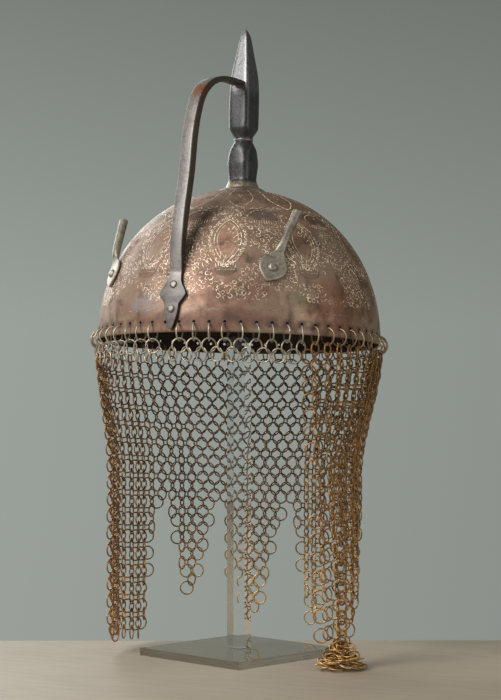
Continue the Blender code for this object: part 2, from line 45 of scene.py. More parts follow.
# Sizes of the part that these pieces follow.
SEAT_GAP = 0.0003
RIM_HEIGHT = 0.2245
LEAN_BACK = radians(3.8)
LEAN_SIDE = radians(-0.5)
RIM_RADIUS = 0.102
DOME_HEIGHT = 0.111
DOME_EXPONENT = 2.1
WALL = 0.0015
RIM_HOLES = 60
RIM_HOLE_RADIUS = 0.0011
RIM_HOLE_HEIGHT = 0.007
RIM_HOLE_CELL = 0.007
FINIAL_PLATE_RADIUS = 0.018
FINIAL_PLATE_THICKNESS = 0.0012
SPIKE_LENGTH = 0.1172
SPIKE_HALF_WIDTH = 0.0109
SPIKE_CORNER_AZIMUTH = radians(36.5)
SPIKE_ROWS = (
    (0.000, 1.13, 2.0), (0.021, 1.05, 2.2), (0.043, 0.95, 3.0), (0.061, 0.93, 4.0), (0.102, 0.97, 4.0),
    (0.148, 1.02, 4.0), (0.185, 0.99, 4.0), (0.222, 0.93, 3.0), (0.247, 0.86, 2.5), (0.277, 0.69, 2.0),
    (0.295, 0.60, 2.0), (0.299, 0.65, 2.0), (0.305, 0.65, 2.0), (0.309, 0.60, 2.0), (0.326, 0.66, 2.2),
    (0.346, 0.80, 3.0), (0.370, 0.95, 4.0), (0.397, 0.99, 5.0), (0.501, 1.00, 6.0), (0.603, 0.99, 6.0),
    (0.654, 0.96, 7.0), (0.706, 0.90, 7.0), (0.757, 0.80, 7.0), (0.808, 0.69, 7.0), (0.859, 0.57, 7.0),
    (0.911, 0.46, 6.0), (0.957, 0.34, 5.0), (0.987, 0.17, 4.0), (1.000, 0.05, 2.0),
)
FOOT_START = 0.002
FOOT_LENGTH = 0.038
FOOT_WIDTH = 0.0196
FOOT_THICKNESS = 0.0024
FOOT_ROWS = (
    (0.00, 0.10), (0.10, 0.28), (0.22, 0.44), (0.36, 0.55), (0.44, 0.56), (0.52, 0.78), (0.60, 1.00),
    (0.68, 0.95), (0.80, 0.66), (0.90, 0.52), (1.00, 0.48),
)
BAR_END_HEIGHT = 0.190
BAR_WIDTH = 0.010
BAR_THICKNESS = 0.0065
BAR_TURN = radians(13.0)
BAR_ROUTE = (
    (0.972, 0.295, 0.97, 0.75, 0.3), (0.937, 0.433, 1.00, 0.95, 0.8), (0.874, 0.585, 1.00, 1.00, 1.0),
    (0.832, 0.740, 1.00, 1.00, 1.0), (0.753, 0.866, 1.00, 0.95, 0.8), (0.626, 0.940, 1.00, 0.82, 0.5),
    (0.447, 0.980, 0.97, 0.60, 0.2), (0.260, 0.996, 0.94, 0.46, 0.0),
)
NASAL_RIVETS = {"nasal_rivet_upper": 0.0319, "nasal_rivet_lower": 0.0154}
PLUME_AZIMUTHS = {"right": radians(39.5), "left": radians(-43.5)}
PLUME_HEIGHT = 0.0445
PLUME_SPLAY = radians(25.0)
PLUME_LENGTH = 0.047
LEAF_WIDTH = 0.0194
TUBE_WIDTH = 0.0062
TUBE_WALL = 0.0007
TUBE_BORE_LENGTH = 0.026
LEAF_THICKNESS_SHARE = 0.27
PLUME_ROWS = (
    (-0.235, 0.06, 0.27, 3.0), (-0.190, 0.36, 0.30, 4.0), (-0.120, 0.72, 0.30, 4.0),
    (-0.040, 0.95, 0.30, 4.0), (0.040, 1.00, 0.30, 4.0), (0.120, 0.90, 0.30, 4.0), (0.200, 0.62, 0.34, 4.0),
    (0.270, 0.38, 0.50, 3.0), (0.340, 0.34, 0.75, 2.4), (0.440, 0.315, 0.92, 2.0),
    (0.600, 0.312, 0.95, 2.0), (1.000, 0.350, 1.00, 2.0),
)
RIVET_SHANK_RADIUS = 0.0014
RIVET_INNER_HEAD_RADIUS = 0.0026
RIVET_INNER_HEAD_HEIGHT = 0.0010
RIVET_INNER_GAP = 0.0006
NASAL_RIVET_RADIUS = 0.0027
PLUME_RIVET_RADIUS = 0.0031
RIVET_DOME_SHARE = 0.7
RIVET_FLAT_SHARE = 0.86
FLUSH_DOME_SHARE = 0.32
FACE_BAND_DROP = 0.024
FACE_OPENING = 52.0
MAIL_NECK = 0.095
MAIL_NARROWING = 0.125
MAIL_CONTRACTION = 0.0625
MAIL_SHIFT = Vector((-0.0032, -0.0016, 0.0))
FOLD_DEPTH = 0.0015
FOLD_COUNT = 13
GATHER_AZIMUTH = 76.0
GATHER_REACH = 30.0
GATHER_SHARE = 0.60
GATHER_FLARE = 0.009
HEAP_RADIUS = 0.0135
HEAP_HEIGHT = 0.0135
HEAP_AZIMUTH = 66.0
HEAP_RINGS = 64
GOLDEN_ANGLE = 2.399963
MAIL_EDGE = (
    (52.0, 0.10), (60.0, 0.05), (66.0, 0.03), (76.0, 0.03), (84.0, 0.09), (112.5, 0.45), (126.5, 0.14),
    (141.5, 0.44), (150.0, 0.36), (156.0, 0.16), (160.0, 0.04), (165.0, 0.05), (171.0, 0.24), (179.0, 0.48),
    (187.0, 0.32), (191.0, 0.24), (193.5, 0.09), (198.5, 0.02), (201.5, 0.10), (203.5, 0.47), (208.5, 0.08),
    (213.0, 0.47), (219.0, 0.45), (231.5, 0.13), (234.0, 0.15), (245.0, 0.46), (250.5, 0.46), (253.0, 0.38),
    (257.0, 0.27), (259.0, 0.10), (261.5, 0.03), (296.0, 0.03), (304.0, 0.06), (308.0, 0.10),
)

# Rings of the mail.
WIRE_RADIUS = 0.00056
RING_RADIUS = 0.0049
HANGER_RADIUS = 0.0059
HANGER_DROP = 0.0091
HANGER_HOLD = 0.00605
RING_SIDES = 16
WIRE_SIDES = 6
LINK_REACH = 0.0079
# The gap between columns is measured this far below the rings above, and held to the widest that links span.
MEASURED_BELOW = 0.006
WIDEST_GAP = 0.0155
# Turn of the rings out of the sheet: it grows where the columns crowd, so that linked wires clear.
LEAST_TURN = 26.0
CROWDED_PITCH = 0.0085
CROWDED_TURN = 5.0
EMPTY_HOLE = 59

# Ornament of the dome: turns in degrees about its axis, arcs up from the rim and stroke lifts in mm.
MEDALLIONS = 10
MEDALLION_TURN = 36.0
MEDALLION_START = 20.3
HALF_OVAL_START = 38.6
PETALS = 11
PETAL_START = 25.0
PETAL_ARC = 120.0
HALF_OVAL_ARC = 91.5
MEDALLION_ARC = 68.0
LENS_ARC = 43.3
SCALLOPS = 120
GILT_LIFT = 0.06
SHADING_LIFT = 0.04
STROKE_TAPER = 0.55

CAMERA_AZIMUTH = radians(26.5)
CAMERA_DISTANCE = 1.4
CAMERA_HEIGHT = 0.207
CAMERA_TARGET = (0.0074, 0.0037, 0.2200)
CAMERA_LENS = 66.48
TABLE_BACK = 0.078

HELMET = Matrix.Translation((0.0, 0.0, RIM_HEIGHT)) @ Euler((-LEAN_BACK, LEAN_SIDE, 0.0)).to_matrix().to_4x4()
HELMET_ARRAY = np.array(HELMET)


# Materials.


def plug(socket, value):
    """Link a socket to another, or give it a value."""
    if isinstance(value, bpy.types.NodeSocket):
        socket.id_data.links.new(value, socket)
    elif isinstance(value, tuple) and len(value) == 3 and socket.type == "RGBA":
        socket.default_value = (*value, 1.0)
    else:
        socket.default_value = value


def add_node(tree, kind, inputs=None, **settings):
    made = tree.nodes.new("ShaderNode" + kind)
    for key, value in settings.items():
        setattr(made, key, value)
    for key, value in (inputs or {}).items():
        plug(made.inputs[key], value)
    return made


def new_material(name):
    """(material, object coordinates in metres)."""
    material = bpy.data.materials.new(name)
    material.use_nodes = True
    return material, add_node(material.node_tree, "TexCoord").outputs["Object"]


def speckle(place, size, detail=4.0, roughness=0.55, distortion=0.0):
    """Noise with blotches about this many metres across."""
    inputs = {"Vector": place, "Scale": 1.0 / size, "Detail": detail}
    inputs.update({"Roughness": roughness, "Distortion": distortion})
    return add_node(place.id_data, "TexNoise", inputs).outputs["Fac"]


def stretch(place, rotation, scale):
    inputs = {"Vector": place, "Rotation": rotation, "Scale": scale}
    return add_node(place.id_data, "Mapping", inputs).outputs["Vector"]


def remap(value, low, high, to_low=0.0, to_high=1.0):
    inputs = {"Value": value, "From Min": low, "From Max": high, "To Min": to_low, "To Max": to_high}
    return add_node(value.id_data, "MapRange", inputs, clamp=True).outputs["Result"]


def blend(factor, first, second, mode="MIX"):
    tree = (factor if isinstance(factor, bpy.types.NodeSocket) else first).id_data
    inputs = {0: factor, 6: first, 7: second}
    return add_node(tree, "Mix", inputs, data_type="RGBA", blend_type=mode).outputs[2]


def tint_of(tree):
    return add_node(tree, "Attribute", attribute_name="tint").outputs["Color"]


def tinted(colour):
    """A colour times the mesh's own tint."""
    return blend(1.0, colour, tint_of(colour.id_data), "MULTIPLY")


def add_bump(shader, layers):
    """Bump from (height, strength, depth in metres) layers, each on the one before."""
    normal = None
    for height, strength, depth in layers:
        inputs = {"Height": height, "Strength": strength, "Distance": depth}
        if normal:
            inputs["Normal"] = normal
        normal = add_node(shader.id_data, "Bump", inputs).outputs["Normal"]
    plug(shader.inputs["Normal"], normal)


def feed(shader, **values):
    for key, value in values.items():
        plug(shader.inputs[key.replace("_", " ")], value)


def worn_look(material, colour, metallic, wear, smooth, rough, bumps):
    """The material with its colour, a roughness that follows the wear, and its bumps."""
    shader = material.node_tree.nodes["Principled BSDF"]
    feed(shader, Base_Color=colour, Metallic=metallic, Roughness=remap(wear, 0.3, 0.7, smooth, rough))
    add_bump(shader, bumps)
    return material


def patina_material():
    material, place = new_material("patinated_steel")
    broad = speckle(place, 0.045, 3.0, 0.6, 0.6)
    blotch = speckle(place, 0.011, 5.0, 0.62, 0.4)
    grain = speckle(place, 0.0016, 5.0, 0.7)
    scratch = speckle(stretch(place, (0.5, 0.4, 0.3), (1.0, 1.0, 0.12)), 0.0009, 3.0, 0.7)
    colour = blend(remap(broad, 0.38, 0.62), (0.235, 0.132, 0.092), (0.310, 0.210, 0.155))
    colour = blend(remap(blotch, 0.50, 0.72), colour, (0.095, 0.062, 0.048))
    colour = blend(remap(blotch, 0.44, 0.26), colour, (0.330, 0.245, 0.185))
    colour = blend(remap(grain, 0.56, 0.74, 0.0, 0.6), colour, (0.060, 0.040, 0.032))
    colour = blend(remap(scratch, 0.62, 0.76, 0.0, 0.35), colour, (0.45, 0.38, 0.30))
    bumps = ((blotch, 0.35, 0.0006), (grain, 0.30, 0.00016), (scratch, 0.10, 0.0001))
    return worn_look(material, tinted(colour), 0.42, blotch, 0.44, 0.62, bumps)


def inner_material():
    material, place = new_material("skull_inner_steel")
    blotch = speckle(place, 0.009, 5.0, 0.6)
    grain = speckle(place, 0.0014, 4.0, 0.7)
    colour = blend(remap(blotch, 0.35, 0.65), (0.028, 0.019, 0.013), (0.062, 0.038, 0.022))
    return worn_look(material, colour, 0.3, grain, 0.55, 0.8, ((blotch, 0.5, 0.0005), (grain, 0.4, 0.0001)))


def line_material(name, metallic, roughness):
    """Gilded lines, and the dark lines of painted shade along the engraved grooves, coloured by their own tint."""
    material, place = new_material(name)
    worn = speckle(place, 0.0022, 3.0, 0.6)
    colour = tinted(blend(remap(worn, 0.60, 0.42), (0.30, 0.22, 0.15), (1.0, 1.0, 1.0)))
    bumps = ((worn, 0.3, 0.0001),)
    return worn_look(material, colour, metallic, worn, roughness - 0.08, roughness + 0.1, bumps)


def steel_material(name, dark, light, stain, metallic, roughness):
    """Worn iron with pits: its tone runs between dark and light, and the stain lies in patches."""
    material, place = new_material(name)
    broad = speckle(place, 0.009, 4.0, 0.6, 0.3)
    grain = speckle(place, 0.0016, 6.0, 0.72)
    pits = add_node(material.node_tree, "TexVoronoi", {"Vector": place, "Scale": 900.0}).outputs["Distance"]
    colour = blend(remap(grain, 0.34, 0.66), dark, light)
    colour = blend(remap(broad, 0.52, 0.70, 0.0, 0.8), colour, stain)
    colour = blend(remap(pits, 0.32, 0.12, 0.0, 0.35), colour, tuple(0.45 * c for c in dark))
    bumps = ((broad, 0.4, 0.0004), (grain, 0.4, 0.00018), (pits, 0.2, 0.0001))
    return worn_look(material, tinted(colour), metallic, grain, roughness - 0.1, roughness + 0.14, bumps)


def mail_material():
    material, place = new_material("ring_wire")
    stain = speckle(place, 0.0040, 4.0, 0.65)
    grain = speckle(place, 0.0006, 3.0, 0.7)
    colour = blend(remap(stain, 0.52, 0.68, 0.0, 0.75), tint_of(material.node_tree), (0.045, 0.028, 0.018))
    colour = blend(remap(grain, 0.55, 0.75, 0.0, 0.4), colour, (0.030, 0.020, 0.014))
    return worn_look(material, colour, 0.6, stain, 0.32, 0.55, ((grain, 0.35, 0.00008),))


def acrylic_material():
    material, place = new_material("clear_acrylic")
    tree = material.node_tree
    shader = tree.nodes["Principled BSDF"]
    haze = remap(speckle(place, 0.004, 5.0, 0.6), 0.45, 0.75, 0.0, 0.06)
    scuff = speckle(stretch(place, (0.0, 0.0, 0.6), (1.0, 0.05, 1.0)), 0.0006, 2.0, 0.6)
    feed(shader, Base_Color=(0.985, 0.996, 0.990), IOR=1.49, Transmission_Weight=1.0, Roughness=haze)
    add_bump(shader, ((scuff, 0.02, 0.00003),))
    # Light passes through to the table: most of each shadow ray goes on unbent.
    passing = add_node(tree, "BsdfTransparent", {"Color": (0.93, 0.96, 0.94)}).outputs["BSDF"]
    share = remap(add_node(tree, "LightPath").outputs["Is Shadow Ray"], 0.0, 1.0, 0.0, 0.9)
    mixed = add_node(tree, "MixShader", {0: share, 1: shader.outputs["BSDF"], 2: passing}).outputs["Shader"]
    plug(tree.nodes["Material Output"].inputs["Surface"], mixed)
    return material


def table_material():
    material, place = new_material("table_top")
    broad = speckle(place, 0.12, 4.0, 0.55, 0.5)
    grain = speckle(stretch(place, (0.0, 0.0, -CAMERA_AZIMUTH), (0.10, 1.0, 1.0)), 0.004, 5.0, 0.6)
    colour = blend(remap(broad, 0.35, 0.65), (0.356, 0.293, 0.223), (0.413, 0.344, 0.267))
    colour = blend(remap(grain, 0.35, 0.70, 0.0, 0.5), colour, (0.300, 0.242, 0.182))
    return worn_look(material, colour, 0.0, grain, 0.48, 0.62, ((grain, 0.08, 0.0003),))


# Meshes.


def add_object(name, data):
    obj = bpy.data.objects.new(name, data)
    bpy.context.scene.collection.objects.link(obj)
    return obj


def make_piece(name, points, faces, materials, tints=None, material_index=None, sharp=40.0):
    """An object from points in the world, with a tint for each point."""
    mesh = bpy.data.meshes.new(name)
    mesh.from_pydata(np.asarray(points, float).reshape(-1, 3).tolist(), [], faces)
    for material in materials:
        mesh.materials.append(material)
    if material_index is not None:
        mesh.polygons.foreach_set("material_index", np.asarray(material_index, np.int32))
    attribute = mesh.color_attributes.new("tint", "FLOAT_COLOR", "POINT")
    colours = np.ones((len(mesh.vertices), 4), np.float32)
    if tints is not None:
        colours[:, :3] = tints
    attribute.data.foreach_set("color", colours.ravel())
    mesh.shade_smooth()
    if sharp:
        mesh.set_sharp_from_angle(angle=radians(sharp))
    mesh.update()
    return add_object(name, mesh)


def to_world(points):
    points = np.asarray(points, float)
    return points @ HELMET_ARRAY[:3, :3].T + HELMET_ARRAY[:3, 3]


def bridge(low, high):
    """Faces between two closed rings of point numbers."""
    low = list(low)
    high = list(high)
    return list(zip(low, low[1:] + low[:1], high[1:] + high[:1], high))


def band(low, high, count):
    """Faces between two rings of points that start at these numbers."""
    return bridge(range(low, low + count), range(high, high + count))


def loft(rings, closed_ends=True):
    """Points and faces through equal rings of points, with flat ends."""
    count = len(rings[0])
    points = [point for ring in rings for point in ring]
    last = len(points) - count
    faces = []
    for start in range(0, last, count):
        faces += band(start, start + count, count)
    if closed_ends:
        faces += [tuple(reversed(range(count))), tuple(range(last, last + count))]
    return points, faces


def lathe(profile, sides, waver):
    """Points and faces of (radius, height) rows turned about the axis. waver gives the share of each radius."""
    rings = []
    for radius, height in profile:
        ring = []
        for i in range(sides):
            angle = 2.0 * pi * i / sides
            reach = radius * waver(radius, height, angle)
            ring.append((reach * cos(angle), reach * sin(angle), height))
        rings.append(ring)
    return loft(rings, closed_ends=False)


def smooth_route(rows, steps):
    """Rows between the given ones on a Catmull-Rom curve through them."""
    rows = [np.array(row, float) for row in rows]
    padded = [rows[0]] + rows + [rows[-1]]
    route = []
    for p, q, r, s in zip(padded, padded[1:], padded[2:], padded[3:]):
        for step in range(steps):
            t = step / steps
            value = 2.0 * q + (r - p) * t + (2.0 * p - 5.0 * q + 4.0 * r - s) * t**2
            route.append(0.5 * (value + (3.0 * q - p - 3.0 * r + s) * t**3))
    route.append(rows[-1])
    return route


def squircle(u_half, v_half, squareness, sides):
    angle = 2.0 * np.pi * (np.arange(sides) + 0.5) / sides
    c = np.cos(angle)
    s = np.sin(angle)
    reach = (np.abs(c) ** squareness + np.abs(s) ** squareness) ** (-1.0 / squareness)
    return np.stack([u_half * c * reach, v_half * s * reach], axis=1)


def ease(value):
    value = min(max(value, 0.0), 1.0)
    return value * value * (3.0 - 2.0 * value)


def outward(azimuth):
    return Vector((sin(azimuth), -cos(azimuth), 0.0))


def dome_radius(height):
    share = min(max(height / DOME_HEIGHT, 0.0), 1.0)
    return RIM_RADIUS * (1.0 - share**DOME_EXPONENT) ** (1.0 / DOME_EXPONENT)


def dome_slope(radius, height):
    """The outward and upward parts of a normal of the dome, not of unit length."""
    power = DOME_EXPONENT - 1.0
    return (radius / RIM_RADIUS) ** power / RIM_RADIUS, (height / DOME_HEIGHT) ** power / DOME_HEIGHT


def dome_frame(azimuth, height, lift=0.0):
    """A frame on the dome with +Z along its normal and +Y up its meridian."""
    across, rise = dome_slope(dome_radius(height), height)
    normal = (outward(azimuth) * across + Vector((0.0, 0.0, rise))).normalized()
    side = outward(azimuth + 0.5 * pi)
    placed = Matrix((side, normal.cross(side), normal)).transposed().to_4x4()
    surface = outward(azimuth) * dome_radius(height) + Vector((0.0, 0.0, height))
    placed.translation = surface + normal * lift
    return placed


_turn = np.linspace(0.0, 0.5 * np.pi, 4001)
_rise = DOME_HEIGHT * np.sin(_turn) ** (2.0 / DOME_EXPONENT)
_reach = RIM_RADIUS * np.cos(_turn) ** (2.0 / DOME_EXPONENT)
_arc = np.concatenate([[0.0], np.cumsum(np.hypot(np.diff(_rise), np.diff(_reach)))])
DOME_ARC = float(_arc[-1])


def on_dome(azimuth, arc, lift=0.0):
    """Points in the helmet's space from azimuths in radians and arc lengths up from the rim."""
    azimuth = np.asarray(azimuth, float)
    arc = np.asarray(arc, float)
    radius = np.interp(arc, _arc, _reach)
    height = np.interp(arc, _arc, _rise)
    across, rise = dome_slope(radius, height)
    length = np.hypot(across, rise)
    radius = radius + lift * across / length
    height = height + lift * rise / length
    return np.stack([radius * np.sin(azimuth), -radius * np.cos(azimuth), height], axis=-1)


def arc_radius(arc):
    return np.interp(arc, _arc, _reach)


# Patches of the dome: (azimuth, arc in mm, half width and half height in mm, tint, strength). Some rows paint
# highlight, shadow and shade, as marked.
PATCHES = (
    (-14.0, 21.5, 13.0, 6.5, (0.90, 1.13, 1.48), 0.85),
    (51.5, 26.0, 8.0, 6.0, (0.75, 1.05, 0.85), 0.8),
    (52.0, 14.0, 13.0, 4.5, (1.5, 1.6, 1.5), 0.45),
    (39.0, 94.5, 12.5, 6.5, (0.42, 0.46, 0.52), 0.85),
    (20.2, 43.3, 8.5, 2.8, (0.42, 0.46, 0.46), 0.85),
    (22.9, 10.2, 5.0, 3.0, (0.45, 0.45, 0.45), 0.7),
    (20.3, 67.5, 7.5, 15.5, (1.42, 1.20, 1.12), 0.75),
    # Painted highlight on the lit left side: the next two rows make the left medallion's plain field and the broad
    # patch round it lighter and greyer.
    (-15.0, 66.0, 8.0, 16.0, (1.25, 1.30, 1.35), 0.75),
    (-24.0, 60.0, 14.0, 26.0, (0.98, 1.08, 1.15), 0.6),
    # Painted shadow of the nasal bar: the next two rows darken a narrow strip just right of the bar and a patch above
    # it.
    (5.0, 72.0, 3.6, 22.0, (0.62, 0.58, 0.55), 0.7),
    (7.0, 100.0, 8.0, 12.0, (0.75, 0.72, 0.70), 0.6),
    (22.0, 30.0, 24.0, 12.0, (0.82, 0.66, 0.60), 0.6),
    (12.0, 8.0, 52.0, 8.0, (0.58, 0.50, 0.48), 0.7),
    (72.0, 20.0, 26.0, 20.0, (1.00, 0.78, 0.58), 0.7),
    (70.0, 100.0, 26.0, 22.0, (0.85, 0.78, 0.66), 0.6),
    (30.0, 128.0, 34.0, 14.0, (1.12, 1.08, 1.02), 0.5),
    # This row darkens the dome's right side, away from the key light, as painted shade, and also warms it towards
    # brown.
    (95.0, 60.0, 22.0, 60.0, (0.72, 0.60, 0.46), 0.7),
    (140.0, 40.0, 40.0, 18.0, (0.85, 0.75, 0.68), 0.6),
    (190.0, 80.0, 36.0, 26.0, (1.15, 1.02, 0.92), 0.5),
    (250.0, 30.0, 30.0, 22.0, (0.80, 0.74, 0.72), 0.6),
    (285.0, 90.0, 26.0, 30.0, (1.15, 1.12, 1.05), 0.5),
)
for _i in range(1, MEDALLIONS):
    _turned = MEDALLION_TURN * _i
    PATCHES += ((MEDALLION_START + _turned, LENS_ARC, 8.5, 2.8, (0.66, 0.66, 0.64), 0.7),)
    PATCHES += ((HALF_OVAL_START + _turned, 94.5, 12.5, 6.5, (0.50, 0.52, 0.56), 0.8),)
    if _i < MEDALLIONS - 1:
        PATCHES += ((MEDALLION_START + _turned, 67.5, 7.5, 15.5, (1.20, 1.08, 1.00), 0.6),)


def dome_tints(azimuth, arc):
    """Tint of each point of the dome, with patches that have soft, ragged edges. Some patches are painted highlight,
    shadow and shade.
    """
    tints = np.ones(azimuth.shape + (3,))
    radius = arc_radius(arc)
    for degrees, middle, half_width, half_height, tint, strength in PATCHES:
        turn = (azimuth - radians(degrees) + np.pi) % (2.0 * np.pi) - np.pi
        u = turn * radius / (half_width * MM)
        v = (arc - middle * MM) / (half_height * MM)
        ragged = 0.22 * np.sin(9.0 * azimuth + 300.0 * arc) + 0.16 * np.sin(31.0 * azimuth - 700.0 * arc)
        reach = np.clip((1.25 - np.hypot(u, v) + ragged) / 0.5, 0.0, 1.0)[..., None] * strength
        tints *= 1.0 + (np.array(tint) - 1.0) * reach
    return tints


def build_skull(outer, inner):
    columns = 360
    rows_above = 84
    lip = 0.0004
    band_arcs = [float(np.interp(RIM_HOLE_HEIGHT + k * RIM_HOLE_CELL, _rise, _arc)) for k in (-0.5, 0.0, 0.5)]
    arcs_above = list(np.linspace(band_arcs[2], DOME_ARC, rows_above + 1))[1:]
    azimuth = 2.0 * np.pi * np.arange(columns) / columns
    points = []
    faces = []
    index = []
    tints = []

    def shell(arcs, inset, flipped, material):
        """One face of the shell. The holes' cells lie between its rows 2 and 4."""
        scale = np.array([(RIM_RADIUS - inset) / RIM_RADIUS] * 2 + [(DOME_HEIGHT - inset) / DOME_HEIGHT])
        start = len(points)
        for arc in arcs:
            points.extend(on_dome(azimuth, np.full(columns, arc)) * scale)
            tints.extend(np.ones((columns, 3)) if inset else dome_tints(azimuth, np.full(columns, arc)))
        made = []
        for row in range(len(arcs) - 1):
            if row not in (2, 3):
                made += band(start + row * columns, start + (row + 1) * columns, columns)
        side = columns // RIM_HOLES
        holes = []
        for hole in range(RIM_HOLES):
            cell = [(hole * side + k) % columns for k in range(side + 1)]
            low, middle, high = ([start + row * columns + k for k in cell] for row in (2, 3, 4))
            border = low + [middle[-1]] + high[::-1] + [middle[0]]
            ring = list(range(len(points), len(points) + len(border)))
            for k in range(len(border)):
                angle = radians(-90.0 + 22.5 * (k - 3))
                turn = 2.0 * pi * (hole + 0.5) / RIM_HOLES + RIM_HOLE_RADIUS * cos(angle) / RIM_RADIUS
                points.append(on_dome([turn], [band_arcs[1] + RIM_HOLE_RADIUS * sin(angle)])[0] * scale)
                # Points round each hole's edge are darker: painted shade at the holes.
                tints.append((0.5, 0.45, 0.42))
            made += bridge(border, ring)
            holes.append(ring)
        faces.extend(face[::-1] if flipped else face for face in made)
        index.extend([material] * len(made))
        return start, holes

    low_arcs = [lip, 0.5 * band_arcs[0]] + band_arcs
    inner_arcs = low_arcs + arcs_above[1::3]
    if inner_arcs[-1] < DOME_ARC:
        inner_arcs.append(DOME_ARC)
    first, outer_holes = shell(low_arcs + arcs_above, 0.0, False, 0)
    second, inner_holes = shell(inner_arcs, WALL, True, 1)
    for ring, other in zip(outer_holes, inner_holes):
        faces += bridge(ring, other)
        index += [1] * len(ring)
    lips = []
    for radius in (RIM_RADIUS - lip, RIM_RADIUS - (WALL - lip)):
        lips.append(len(points))
        points += [(sin(turn) * radius, -cos(turn) * radius, 0.0) for turn in azimuth]
        tints += [(0.8, 0.75, 0.7)] * columns
    for low, high in ((lips[0], first), (lips[1], lips[0]), (second, lips[1])):
        faces += band(low, high, columns)
        index += [0] * columns
    return make_piece("skull_shell", to_world(points), faces, [outer, inner], tints, index, 55.0)


class Strokes:
    """Flat strokes on the dome. Paths are in millimetres, right and up from (azimuth, arc in mm)."""

    def __init__(self):
        self.points = []
        self.faces = []
        self.tints = []
        self.count = 0

    def add(self, azimuth, arc, path, width, tint, lift=GILT_LIFT):
        path = np.asarray(path, float)
        run = np.gradient(path, axis=0)
        run /= np.maximum(np.hypot(run[:, 0], run[:, 1]), 1e-9)[:, None]
        side = np.stack([-run[:, 1], run[:, 0]], axis=1)
        n = len(path)
        swell = np.sin(np.pi * np.linspace(0.0, 1.0, n)) ** 0.6
        half = 0.5 * width * (STROKE_TAPER + (1.0 - STROKE_TAPER) * swell)
        edges = np.concatenate([path + side * half[:, None], path - side * half[:, None]])
        arcs = np.clip((arc + edges[:, 1]) * MM, 0.0, DOME_ARC - 0.002)
        turn = azimuth + edges[:, 0] * MM / arc_radius(arcs)
        self.points.append(on_dome(turn, arcs, lift * MM))
        self.faces += [(a, a + n, a + n + 1, a + 1) for a in range(self.count, self.count + n - 1)]
        self.tints.append(np.repeat(np.array([tint], float), 2 * n, axis=0))
        self.count += 2 * n

    def piece(self, name, material):
        points = to_world(np.concatenate(self.points))
        return make_piece(name, points, self.faces, [material], np.concatenate(self.tints), sharp=None)


def arc_path(radius, start, end, steps, centre=(0.0, 0.0), squash=1.0):
    angle = np.radians(np.linspace(start, end, steps))
    return np.stack([centre[0] + radius * np.cos(angle), centre[1] + squash * radius * np.sin(angle)], axis=1)


def turned(path, degrees):
    c = cos(radians(degrees))
    s = sin(radians(degrees))
    return np.asarray(path) @ np.array([[c, s], [-s, c]])


def motif_paths(kind, size):
    """Strokes of one small scroll, ring or leaf about size millimetres across."""
    if kind == 0:
        return [arc_path(0.45 * size, 40.0, 320.0, 9)]
    if kind == 1:
        return [
            arc_path(0.30 * size, -30.0, 200.0, 7, (0.0, 0.28 * size)),
            arc_path(0.30 * size, 150.0, 380.0, 7, (0.0, -0.28 * size)),
        ]
    if kind == 2:
        return [arc_path(0.36 * size, 0.0, 360.0, 10)]
    if kind == 3:
        return [arc_path(0.8 * size, 20.0, 85.0, 6, (-0.3 * size, -0.5 * size))]
    if kind == 4:
        return [arc_path(0.42 * size, 60.0, 330.0, 9), [(0.1 * size, 0.0), (0.55 * size, 0.15 * size)]]
    return [[(-0.35 * size, -0.2 * size), (0.0, 0.25 * size), (0.35 * size, -0.2 * size)]]


def cartouche_path(half_width, half_height, steps=21):
    share = np.linspace(-1.0, 1.0, steps)
    width = half_width * (1.0 - np.abs(share) ** 1.9) ** 0.8
    right = np.stack([width, share * half_height], axis=1)
    left = np.stack([-width[::-1], share[::-1] * half_height], axis=1)
    return np.concatenate([right, left[1:]])


